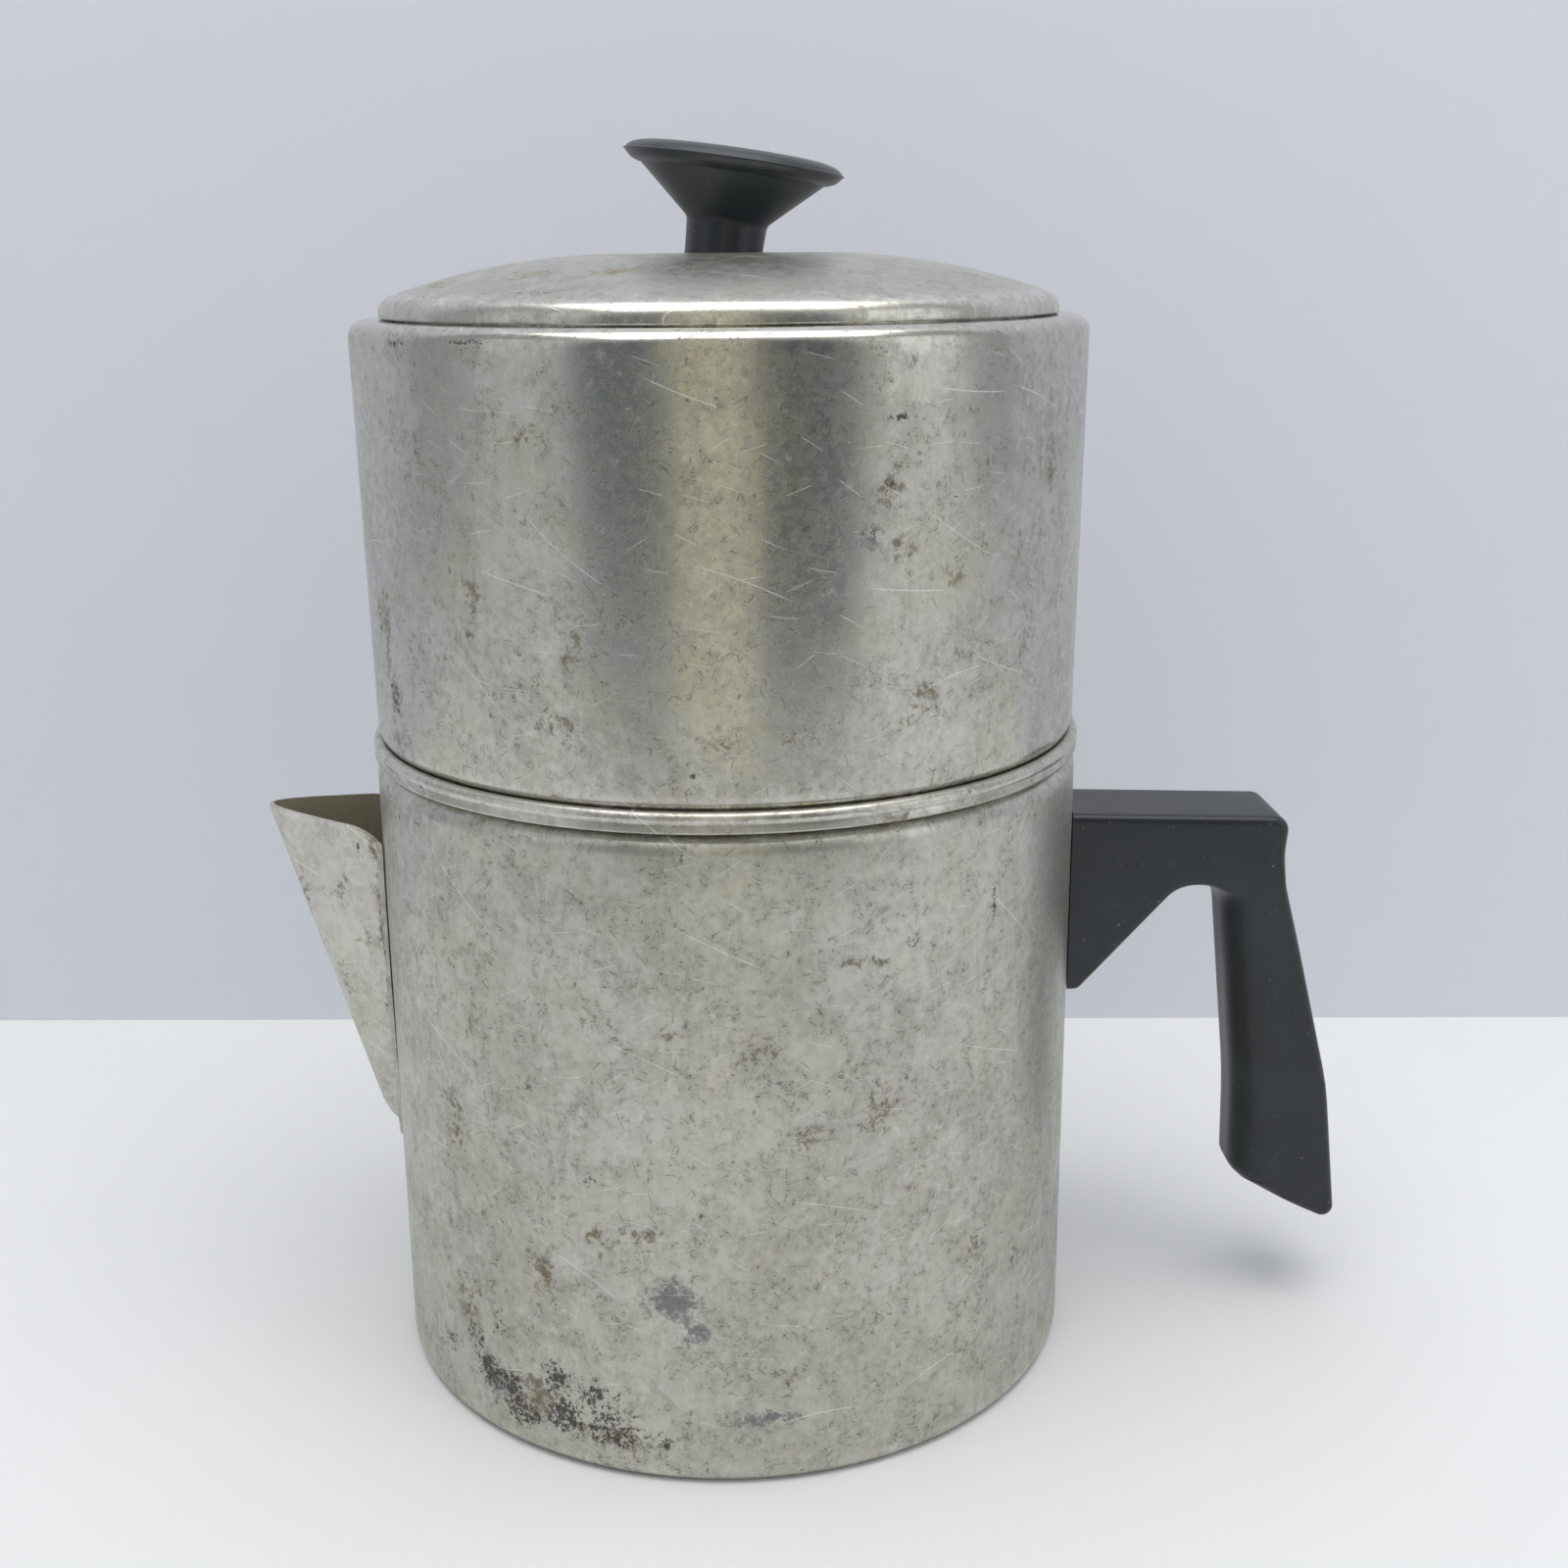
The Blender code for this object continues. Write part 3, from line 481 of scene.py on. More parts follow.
class Levels:
    """Heights and radii that follow from the sizes, each worked out from the seat below it."""

    def __init__(self, sizes):
        self.mouth = sizes.radius - sizes.ledge
        self.basket = self.mouth - SLIDE_GAP
        self.basket_inner = self.basket - sizes.basket_sheet
        self.step = sizes.height - 18.0 * MM
        self.step_seat = self.step + sizes.basket_sheet
        self.rim_flat = sizes.height + SEAT_GAP + 2.0 * sizes.basket_sheet
        self.spreader = self.step_seat + SEAT_GAP
        self.reservoir = self.rim_flat + SEAT_GAP
        self.reservoir_radius = sizes.radius + 0.1 * MM
        self.rim = self.reservoir + sizes.reservoir_height
        self.rim_mouth = self.reservoir_radius - sizes.ledge
        self.spigot = self.basket_inner - SLIDE_GAP
        self.spigot_floor = self.reservoir - 8.5 * MM
        self.lid = self.rim + SEAT_GAP
        self.lid_radius = self.rim_mouth + 2.0 * MM
        self.brim = self.lid_radius - sizes.lid_edge
        self.crown = 18.0 * MM
        self.band = 0.6 * MM
        self.slope = math.asin((self.brim - self.crown) / (sizes.dome - sizes.lid_edge))
        drop = sizes.dome - (sizes.dome - sizes.lid_edge) * math.cos(self.slope)
        self.lid_top = self.lid + self.band + drop
        self.handle = sizes.height - 15.1 * MM


# ---------------------------------------------------------------- growing meshes with trees
SOCKETS = {"geometry": "NodeSocketGeometry", "float": "NodeSocketFloat", "int": "NodeSocketInt",
           "vector": "NodeSocketVector", "rotation": "NodeSocketRotation",
           "material": "NodeSocketMaterial"}


def new_tree(name, inputs):
    """A geometry tree with named inputs. Returns its graph and the inputs as values."""
    tree = bpy.data.node_groups.new(name, "GeometryNodeTree")
    tree.interface.new_socket("Geometry", in_out="OUTPUT", socket_type=SOCKETS["geometry"])
    for label, kind in inputs.items():
        tree.interface.new_socket(label, in_out="INPUT", socket_type=SOCKETS[kind])
    graph = Graph(tree)
    source = tree.nodes.new("NodeGroupInput")
    return graph, {label: Value(graph, source.outputs[label]) for label in inputs}


def close_tree(graph, geometry, material):
    """Ends a tree in Realize Instances and Set Material."""
    real = graph.node("GeometryNodeRealizeInstances", None, {"Geometry": geometry})
    painted = graph.node("GeometryNodeSetMaterial", None, {"Geometry": real, "Material": material})
    sink = graph.tree.nodes.new("NodeGroupOutput")
    graph.feed(sink.inputs["Geometry"], painted)
    return graph.tree


def turning_tree():
    """Turns an outline round Z. The outline's points are the mesh's points, in order."""
    graph, value = new_tree("turned piece", {"Outline": "geometry", "Facets": "int",
                                             "Weld": "float", "Material": "material"})
    count = graph.node("GeometryNodeAttributeDomainSize", None, {"Geometry": value["Outline"]})
    grid = graph.node("GeometryNodeMeshGrid", None, {"Vertices X": value["Facets"] + 1.0,
                                                     "Vertices Y": count})
    index = graph.node("GeometryNodeInputIndex")
    column = graph.math("FLOOR", (index + 0.5) / count)
    row = index - column * count
    place = graph.node("GeometryNodeSampleIndex", {"data_type": "FLOAT_VECTOR"}, {
        "Geometry": value["Outline"], "Value": graph.node("GeometryNodeInputPosition"),
        "Index": row})
    radius, _, height = graph.split(place)
    angle = column * -TAU / value["Facets"]
    turned = graph.join(radius * graph.math("COSINE", angle), radius * graph.math("SINE", angle),
                        height)
    shaped = graph.node("GeometryNodeSetPosition", None, {"Geometry": grid, "Position": turned})
    welded = graph.node("GeometryNodeMergeByDistance", None, {"Geometry": shaped,
                                                              "Distance": value["Weld"]})
    return close_tree(graph, welded, value["Material"])


def hole_tree(name, points_of, inputs):
    """Bores a round hole at each of some points."""
    graph, value = new_tree(name, {"Piece": "geometry", **inputs, "Hole Radius": "float",
                                   "Depth": "float", "Sides": "int", "Direction": "rotation",
                                   "Material": "material"})
    drill = graph.node("GeometryNodeMeshCylinder", None, {
        "Vertices": value["Sides"], "Radius": value["Hole Radius"], "Depth": value["Depth"]})
    drills = graph.node("GeometryNodeInstanceOnPoints", None, {
        "Points": points_of(graph, value), "Instance": drill, "Rotation": value["Direction"]})
    tools = graph.node("GeometryNodeRealizeInstances", None, {"Geometry": drills})
    bored = graph.node("GeometryNodeMeshBoolean", {"operation": "DIFFERENCE", "solver": "EXACT"},
                       {"Mesh 1": value["Piece"], "Mesh 2": tools})
    return close_tree(graph, bored, value["Material"])


def row_points(graph, value):
    return graph.node("GeometryNodeMeshLine", None, {
        "Count": value["Count"], "Start Location": value["Start"], "Offset": value["Step"]})


def ring_points(graph, value):
    ring = graph.node("GeometryNodeMeshCircle", None, {"Vertices": value["Count"],
                                                       "Radius": value["Ring Radius"]})
    turn = graph.join(0.0, 0.0, value["Turn"])
    lift = graph.join(0.0, 0.0, value["Height"])
    return graph.node("GeometryNodeTransform", None, {"Geometry": ring, "Translation": lift,
                                                      "Rotation": turn})


def row_hole_tree():
    return hole_tree("row of holes", row_points, {"Count": "int", "Start": "vector",
                                                  "Step": "vector"})


def ring_hole_tree():
    return hole_tree("ring of holes", ring_points, {"Count": "int", "Ring Radius": "float",
                                                    "Turn": "float", "Height": "float"})


def fastener_tree():
    """Cuts a slot across a screw's head and sets the screw at each point of a row."""
    graph, value = new_tree("row of screws", {
        "Screw": "geometry", "Slot": "vector", "Slot Height": "float", "Count": "int",
        "Start": "vector", "Step": "vector", "Direction": "rotation", "Material": "material"})
    slot = graph.node("GeometryNodeMeshCube", None, {"Size": value["Slot"]})
    lift = graph.join(0.0, 0.0, value["Slot Height"])
    placed = graph.node("GeometryNodeTransform", None, {"Geometry": slot, "Translation": lift})
    slotted = graph.node("GeometryNodeMeshBoolean", {"operation": "DIFFERENCE", "solver": "EXACT"},
                         {"Mesh 1": value["Screw"], "Mesh 2": placed})
    screws = graph.node("GeometryNodeInstanceOnPoints", None, {
        "Points": row_points(graph, value), "Instance": slotted, "Rotation": value["Direction"]})
    return close_tree(graph, screws, value["Material"])


def scatter_tree():
    """Sets the object's own mesh at each point of a row."""
    graph, value = new_tree("row of pieces", {
        "Piece": "geometry", "Count": "int", "Start": "vector", "Step": "vector",
        "Direction": "rotation", "Material": "material"})
    copies = graph.node("GeometryNodeInstanceOnPoints", None, {
        "Points": row_points(graph, value), "Instance": value["Piece"],
        "Rotation": value["Direction"]})
    return close_tree(graph, copies, value["Material"])


TREES = {"turn": turning_tree, "row": row_hole_tree, "ring": ring_hole_tree,
         "screws": fastener_tree, "copies": scatter_tree}
GROWN = {}


def tree(kind):
    if kind not in GROWN:
        GROWN[kind] = TREES[kind]()
    return GROWN[kind]


def add_step(obj, kind, **inputs):
    """Adds one geometry tree to an object. An input's name is its label with _ for a space."""
    group = tree(kind)
    step = obj.modifiers.new(kind, "NODES")
    step.node_group = group
    sockets = {item.name: item.identifier for item in group.interface.items_tree
               if item.in_out == "INPUT"}
    for label, value in inputs.items():
        step[sockets[label.replace("_", " ")]] = value


def settle(obj, material, smooth_below=32.0):
    """Turns an object's modifiers into one plain closed mesh that faces outwards."""
    bpy.context.view_layer.update()
    evaluated = obj.evaluated_get(bpy.context.evaluated_depsgraph_get())
    mesh = bpy.data.meshes.new_from_object(evaluated)
    obj.modifiers.clear()
    obj.data = mesh
    mesh.name = obj.name
    work = bmesh.new()
    work.from_mesh(mesh)
    bmesh.ops.remove_doubles(work, verts=work.verts, dist=WELD)
    bmesh.ops.dissolve_degenerate(work, edges=work.edges, dist=0.5 * WELD)
    loose = [edge for edge in work.edges if not edge.link_faces]
    bmesh.ops.delete(work, geom=loose, context="EDGES")
    bmesh.ops.delete(work, geom=[v for v in work.verts if not v.link_faces], context="VERTS")
    bmesh.ops.recalc_face_normals(work, faces=work.faces)
    if work.calc_volume(signed=True) < 0.0:
        bmesh.ops.reverse_faces(work, faces=work.faces)
    work.to_mesh(mesh)
    work.free()
    mesh.materials.clear()
    mesh.materials.append(material)
    mesh.polygons.foreach_set("material_index", np.zeros(len(mesh.polygons), np.int32))
    mesh.polygons.foreach_set("use_smooth", np.ones(len(mesh.polygons), bool))
    mesh.set_sharp_from_angle(angle=math.radians(smooth_below))
    mesh.update()
    return obj


def new_object(name, mesh):
    obj = bpy.data.objects.new(name, mesh)
    bpy.context.scene.collection.objects.link(obj)
    return obj


def turned(name, outline, material, facets, closed=False):
    """A turned piece from an outline that runs down its outer side."""
    points = outline + [outline[0]] if closed else outline
    mesh = bpy.data.meshes.new(name)
    mesh.from_pydata([(r, 0.0, z) for r, z in points],
                     [(k, k + 1) for k in range(len(points) - 1)], [])
    obj = new_object(name, mesh)
    add_step(obj, "turn", Facets=facets, Weld=WELD, Material=material)
    return settle(obj, material)


def bore_row(obj, count, start, step, radius, depth, direction, material, sides=24):
    """Bores a row of holes from the start, one step apart."""
    add_step(obj, "row", Count=count, Start=start, Step=step, Hole_Radius=radius, Depth=depth,
             Sides=sides, Direction=direction, Material=material)


def bore_rings(obj, rings, radius, height, depth, material, sides=20):
    """Bores rings of upright holes. Each second ring is turned by half a pitch."""
    for index, (count, ring_radius) in enumerate(rings):
        if count == 1:
            bore_row(obj, 1, (0.0, 0.0, height), STILL, radius, depth, STILL, material, sides)
        else:
            add_step(obj, "ring", Count=count, Ring_Radius=ring_radius,
                     Turn=(index % 2) * 0.5 * TAU / count, Height=height, Hole_Radius=radius,
                     Depth=depth, Sides=sides, Direction=STILL, Material=material)


# ---------------------------------------------------------------- marks of use
SOOT, COFFEE, SMOKE_AND_REFLECTION, RUBBED = 0, 1, 2, 3   # the channels of a piece's "marks" colours


def by_kind(table):
    """A flat list of marks from lists of them for each kind."""
    return [(kind, *mark) for kind, marks in table.items() for mark in marks]


def scattered(seed, count, low, high, front=80.0):
    """Marks at random between two heights, at more than so many degrees from the front."""
    draw = np.random.RandomState(seed)
    found = []
    for _ in range(count):
        turn = draw.uniform(-180.0, 180.0)
        kind = int(draw.choice([SOOT, COFFEE, COFFEE, SMOKE_AND_REFLECTION]))
        wide, tall = draw.uniform(1.0, 7.0), draw.uniform(1.5, 9.0)
        height, depth = draw.uniform(low, high), draw.uniform(0.35, 0.9)
        if abs(turn) > front:
            found.append((kind, turn, height, wide, tall, depth))
    return found


def keep_marks(obj, paint):
    layer = obj.data.color_attributes.new("marks", "FLOAT_COLOR", "POINT")
    layer.data.foreach_set("color", paint.ravel())


def paint_marks(obj, marks, rubbed=(), by_radius=False):
    """Paints a turned piece's marks: soot, coffee, smoke with painted reflection bands, and the
    bands that are rubbed.

    A mark is (kind, degrees from -Y towards +X, height or radius in mm, half width, half height,
    depth). A rubbed band is (height or radius in mm, half width, depth).
    """
    mesh = obj.data
    place = np.empty(len(mesh.vertices) * 3, np.float32)
    mesh.vertices.foreach_get("co", place)
    x, y, z = (place.reshape(-1, 3) / MM).T
    radius = np.hypot(x, y)
    turn = np.degrees(np.arctan2(x, -y))
    level = radius if by_radius else z
    paint = np.zeros((len(x), 4), np.float32)
    for kind, at, height, wide, tall, depth in marks:
        gap = (turn - at + 180.0) % 360.0 - 180.0
        across = np.radians(gap) * np.maximum(radius, 1.0)
        spread = np.exp(-((across / wide) ** 2 + ((level - height) / tall) ** 2))
        paint[:, kind] = np.maximum(paint[:, kind], depth * spread)
    for height, wide, depth in rubbed:
        band = depth * np.exp(-((level - height) / wide) ** 2)
        paint[:, RUBBED] = np.maximum(paint[:, RUBBED], band)
    keep_marks(obj, paint)


SERVER_MARKS = by_kind({
    SOOT: ((-43, 13, 4, 5, 1.0), (-38, 12, 4, 5, 1.0), (-29, 17, 4, 5, 0.95),
           (-28, 10, 6, 6, 0.95), (-20, 9, 8, 6, 0.90), (-12, 8, 6, 4, 0.75),
           (-36, 7, 9, 4, 0.90), (-46, 18, 5, 6, 0.75), (-54, 13, 4, 5, 0.8),
           (-22, 15, 8, 7, 0.72), (-41, 24, 6, 6, 0.60), (0, 8, 1.2, 1.5, 0.9),
           (43, 102, 1.0, 4, 0.9), (34, 71, 2.0, 1.2, 0.9), (-22, 57, 3, 2, 0.75),
           (-46, 80, 1.5, 7, 0.6), (52, 20, 1.2, 5, 0.8), (51, 31, 1.2, 4, 0.8),
           (-32, 73, 1.5, 2, 0.7), (-49, 62, 1.5, 4, 0.6), (-36, 101, 1.2, 3, 0.8),
           (-62, 114, 2, 2, 0.7), (-50, 113, 5, 1.2, 0.7), (14, 116, 9, 0.8, 0.6),
           (20, 34, 2, 1.5, 0.7), (24, 32, 1.5, 2, 0.6), (4, 27, 1.5, 2, 0.6),
           (29, 63, 1.5, 3, 0.5)),
    COFFEE: ((18, 96, 3.4, 1.0, 1.0), (22, 97, 2.5, 1.2, 0.9), (27, 100, 1.2, 4, 0.8),
             (22, 70, 2.4, 5, 1.0), (-9, 86, 1.5, 4, 0.9), (2, 82, 6, 4, 0.5),
             (-57, 90, 1.5, 3, 1.0), (-49, 63, 3, 8, 0.7), (-43, 80, 3, 5, 0.6),
             (-14, 48, 3, 2, 1.0), (-21, 47, 4, 2.5, 0.8), (-30, 38, 2.4, 4, 1.0),
             (8, 19, 1.5, 3, 0.8), (-33, 12, 6, 5, 0.9), (-18, 7, 12, 4, 0.7),
             (40, 35, 3, 6, 0.5), (30, 55, 4, 5, 0.4), (11, 67, 5, 4, 0.5), (-38, 62, 5, 6, 0.4),
             (40, 22, 4, 7, 0.4), (-48, 25, 5, 6, 0.6)),
    SMOKE_AND_REFLECTION: ((-9, 36, 4.6, 4.4, 1.3), (-6, 30, 4, 2.4, 1.1), (4, 13, 8, 1.8, 1.1),
            (-41, 12, 4, 4, 1.1), (34, 71, 1.8, 1.8, 0.7), (43, 101, 1.2, 5, 0.8),
            (20, 34, 2, 2, 0.8), (51, 30, 1.5, 7, 0.7)),
})
RESERVOIR_MARKS = by_kind({
    SOOT: ((24, 185, 3.2, 0.7, 0.9), (28, 186, 2, 0.6, 0.8), (23, 175, 1.8, 3, 0.9),
           (25, 166, 2.2, 1.2, 0.8), (20, 167, 3.6, 1.6, 0.9), (35, 172, 6, 0.5, 0.7),
           (-61, 136, 4, 5, 0.9), (-66, 150, 3, 7, 0.7), (-37, 196.6, 10, 0.6, 0.8),
           (-52, 196, 6, 0.8, 0.8), (42, 195.6, 12, 0.5, 0.7), (-44, 185, 1.2, 5, 0.8),
           (-39, 171, 0.9, 1.0, 1.0), (-36, 168, 0.8, 0.8, 0.9), (-25, 157, 1.5, 2, 0.7),
           (-36, 137, 8, 0.6, 0.7), (34, 131, 7, 1.2, 0.6), (-63, 175, 1.5, 6, 0.7),
           (29, 138, 3, 3, 0.6), (56, 172, 1.2, 6, 0.7), (14, 153, 2, 2, 0.4)),
    COFFEE: ((23, 174, 2.6, 3.5, 1.1), (25, 165, 2.6, 3.0, 1.1), (34, 160, 2.4, 5, 0.8),
             (40, 163, 1.6, 3.5, 0.8), (56, 173, 2.0, 8, 0.9), (-38, 158, 1.6, 5, 1.0),
             (-40, 151, 2, 3, 0.8), (-22, 150, 2.2, 5, 0.9), (-28, 183, 5, 3, 0.6),
             (-63, 146, 3, 9, 1.2), (-24, 137, 4, 1.5, 0.8), (27, 193, 1.6, 2.5, 0.9),
             (10, 135, 7, 3, 0.5), (-1, 135, 1.5, 3, 0.9), (29, 139, 4, 5, 0.7),
             (50, 148, 4, 8, 0.5), (13, 166, 4, 12, 0.35), (-47, 178, 3, 7, 0.5)),
    SMOKE_AND_REFLECTION: ((20, 167, 4.5, 2.6, 0.9), (-60, 128, 6, 4, 0.8), (52, 176, 4, 4, 0.5),
            # the last two, tall faint bands 16 and 13 degrees either side of the front, are
            # painted reflection of what stands before the pot
            (-16, 164, 7, 24, 0.22), (13, 164, 6, 24, 0.20)),
})
LID_MARKS = by_kind({
    SOOT: ((28, 53, 6, 0.8, 0.7), (-36, 56, 12, 0.6, 0.7), (50, 50, 6, 1.2, 0.6),
           (-46, 45, 5, 1.5, 0.7)),
    COFFEE: ((-40, 46, 7, 3, 0.9), (-22, 44, 8, 3, 0.8), (25, 44, 6, 3, 0.6),
             (-65, 52, 8, 3, 0.8), (5, 30, 6, 3, 0.6), (60, 50, 5, 3, 0.6)),
    SMOKE_AND_REFLECTION: ((-15, 24, 8, 3, 0.5), (20, 22, 8, 3, 0.5)),
})


# ---------------------------------------------------------------- server and spout
def vessel(outer, inner):
    """An outline down the outer side to the axis, and back up the inner side to the mouth."""
    return outer + inner[::-1] + [outer[0]]


def soft_mouth(radius, height):
    """The cut edge of a pot's mouth, up to its flat top."""
    return [(radius, height - EDGE), (radius + 0.3 * EDGE, height - 0.3 * EDGE),
            (radius + EDGE, height)]


def server_outline(sizes, at):
    wall, shoulder, base = sizes.wall, sizes.shoulder, sizes.base
    r, h = sizes.radius, sizes.height
    outer = soft_mouth(at.mouth, h) + arc(r - shoulder, h - shoulder, shoulder, 90.0, 0.0, 10)
    outer += arc(r - base, base, base, 0.0, -90.0, 8) + [(0.0, 0.0)]
    inner = [(at.mouth, h - wall)]
    inner += arc(r - shoulder, h - shoulder, shoulder - wall, 90.0, 0.0, 8)
    inner += arc(r - base, base, base - wall, 0.0, -90.0, 6) + [(0.0, wall)]
    return vessel(spaced(outer, FINE), spaced(inner, COARSE))


STRAINER_ROWS, STRAINER_PITCH, STRAINER_HOLE = 4, 5.8 * MM, 1.3 * MM
HANDLE_SCREWS, SCREW_DROP, SCREW_SPACING = 2, 20.5 * MM, 12.0 * MM


def make_server(sizes, finish):
    at = Levels(sizes)
    metal = worn_aluminium("server_aluminium", finish, rough=0.37, tarnish=0.54, stain=0.75,
                           specks=0.80)
    body = turned("pot_server", server_outline(sizes, at), metal, sizes.turns)
    through = 8.0 * sizes.wall
    for row in range(STRAINER_ROWS):
        count = STRAINER_ROWS - row
        height = sizes.height - SPOUT_DROP - (1.6 + 1.1 * row) * STRAINER_PITCH
        bore_row(body, count, (-sizes.radius, -0.5 * (count - 1) * STRAINER_PITCH, height),
                 (0.0, STRAINER_PITCH, 0.0), STRAINER_HOLE, through, EAST, metal)
    bore_row(body, HANDLE_SCREWS, (sizes.radius, 0.0, at.handle - SCREW_DROP),
             (0.0, 0.0, SCREW_SPACING), sizes.screw_radius + SEAT_GAP, through, EAST, metal)
    settle(body, metal)
    flame_marks = [(SOOT, turn, 7.0, 11.0, 6.0, 0.75) for turn in (-118, -96, 104, 131, 168)]
    paint_marks(body, SERVER_MARKS + scattered(11, 90, 4.0, 116.0) + flame_marks,
                [(119.0, 1.6, 1.0), (1.6, 1.6, 0.5)])
    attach(body, "server")
    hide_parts("server_body")


SPOUT_DROP, SPOUT_LENGTH, SPOUT_LIP_RISE = 14.2 * MM, 64.7 * MM, 2.3 * MM
SPOUT_HALF_WIDTH, SPOUT_FLANGE, SPOUT_NOSE = 13.8 * MM, 3.0 * MM, 0.30
SPOUT_FOOT_REACH, SPOUT_FOOT_ROUND = 2.2 * MM, 4.5 * MM
LIP_DIP = 2.1 * MM           # how far the lip drops where it meets the wall
SPOUT_BROWN = (0.34, 0.295, 0.195)


def spout_reach(sizes, above):
    """How far the inside of the fold stands out, this high above its foot."""
    above = max(above, 0.0)
    slope = (sizes.spout_reach - SPOUT_FOOT_REACH) / (SPOUT_LENGTH + SPOUT_LIP_RISE)
    closing = min(above / SPOUT_FOOT_ROUND, 1.0)
    return (SPOUT_FOOT_REACH + slope * above) * math.sqrt(1.0 - (1.0 - closing) ** 2)


def spout_fold(share):
    """1 at the nose, and 0 where the side has run out onto the wall, with a soft corner there."""
    full = math.hypot(1.0, SPOUT_NOSE) - SPOUT_NOSE
    fold = 1.0 - (math.hypot(share, SPOUT_NOSE) - SPOUT_NOSE) / full
    return 0.5 * (fold + math.hypot(fold, 0.045))


def spout_levels(foot, rows=44, tail_rows=8):
    """Heights up the spout, and how far the flange has spread at each, from its round tail up."""
    tail = 1.2 * SPOUT_FLANGE
    levels = []
    for k in range(tail_rows):
        share = (k + 0.35) / (tail_rows + 0.35)
        levels.append((foot - tail * (1.0 - k / tail_rows), math.sqrt(1.0 - (1.0 - share) ** 2)))
    return levels + [(foot + SPOUT_LENGTH * (k / rows) ** 1.35, 1.0) for k in range(rows + 1)]


def spout_points(sizes, level, spread, foot, side, flange):
    """One row across half of the spout, from its nose to the edge of its flange."""
    seat = sizes.radius + SEAT_GAP
    above = max(level - foot, 0.0)
    reach = spout_reach(sizes, above)
    half = max(SPOUT_HALF_WIDTH * reach / sizes.spout_reach, 0.04 * SPOUT_HALF_WIDTH)
    rise = above / SPOUT_LENGTH
    points = []
    for k in range(side + flange + 1):
        past = max(k - side, 0) / flange
        share = min(k / side, 1.0)
        y = (half * share + SPOUT_FLANGE * past) * spread
        fold = spout_fold(share + past * SPOUT_FLANGE / max(half, 1.0 * MM))
        fold = max(fold - 0.0006, 0.0) if past < 1.0 else 0.0
        dip = LIP_DIP * rise ** 6 * (max(share - 0.80, 0.0) / 0.20) ** 2
        lift = SPOUT_LIP_RISE * rise * fold
        points.append((-math.sqrt(seat ** 2 - y ** 2) - reach * fold, y, level + lift - dip))
    return points


def inner_side(graph, place):
    """1 on the faces that look into the spout."""
    _, y, _ = graph.split(place)
    normal = graph.node("ShaderNodeNewGeometry", output="True Normal")
    turn_x, turn_y, _ = graph.split(normal)
    inwards = turn_x * 0.4 - turn_y * graph.math("SIGN", y)
    return graph.smooth(inwards, 0.02, 0.25)


# kind, x, height, half width, half height and depth of the spout's marks, in mm
SPOUT_MARKS = ((SMOKE_AND_REFLECTION, -75.0, 92.0, 1.6, 1.4, 1.0), (SMOKE_AND_REFLECTION, -73.4, 94.2, 1.3, 1.2, 1.0),
               (SMOKE_AND_REFLECTION, -67.8, 68.0, 1.2, 3.0, 0.8), (COFFEE, -67.2, 103.0, 0.9, 3.0, 1.6),
               (COFFEE, -66.8, 88.0, 0.7, 14.0, 1.1), (COFFEE, -83.0, 86.0, 1.4, 9.0, 0.8),
               (COFFEE, -71.0, 82.0, 3.0, 4.0, 0.5), (COFFEE, -76.0, 72.0, 2.0, 6.0, 0.6),
               (SOOT, -70.2, 102.0, 0.5, 1.6, 0.9))


def make_spout(sizes, finish, side=26, flange=8):
    foot = sizes.height - SPOUT_DROP - SPOUT_LENGTH
    rows = [spout_points(sizes, level, spread, foot, side, flange)
            for level, spread in spout_levels(foot)]
    columns = side + flange + 1
    faces = [(first, first + columns, first + columns + 1, first + 1)
             for row in range(len(rows) - 1)
             for first in range(row * columns, (row + 1) * columns - 1)]
    mesh = bpy.data.meshes.new("pot_spout")
    mesh.from_pydata([point for row in rows for point in row], [], faces)
    spout = new_object("pot_spout", mesh)
    mirror = spout.modifiers.new("other side", "MIRROR")
    mirror.use_axis = (False, True, False)
    mirror.merge_threshold = WELD
    sheet = spout.modifiers.new("sheet", "SOLIDIFY")
    sheet.thickness = sizes.spout_sheet
    sheet.offset = 1.0
    sheet.use_even_offset = True
    edge = spout.modifiers.new("edge", "BEVEL")
    edge.width = 0.22 * MM
    edge.segments = 2
    edge.limit_method = "ANGLE"
    edge.angle_limit = math.radians(60.0)
    metal = worn_aluminium("spout_aluminium", finish, plane="side", tone=1.10, rough=0.44,
                           tarnish=0.34, stain=0.55, specks=0.40,
                           inside=(SPOUT_BROWN, inner_side))
    settle(spout, metal, 40.0)

    place = np.array([v.co for v in spout.data.vertices]) / MM
    paint = np.zeros((len(place), 4), np.float32)
    for kind, x, z, wide, tall, depth in SPOUT_MARKS:
        near = np.exp(-(((place[:, 0] - x) / wide) ** 2 + ((place[:, 2] - z) / tall) ** 2))
        paint[:, kind] = np.maximum(paint[:, kind], depth * near)
    paint[:, RUBBED] = np.clip((place[:, 2] - 105.3) / 1.5, 0.0, 1.0) * 0.7
    keep_marks(spout, paint)
    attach(spout, "server")
    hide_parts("spout")


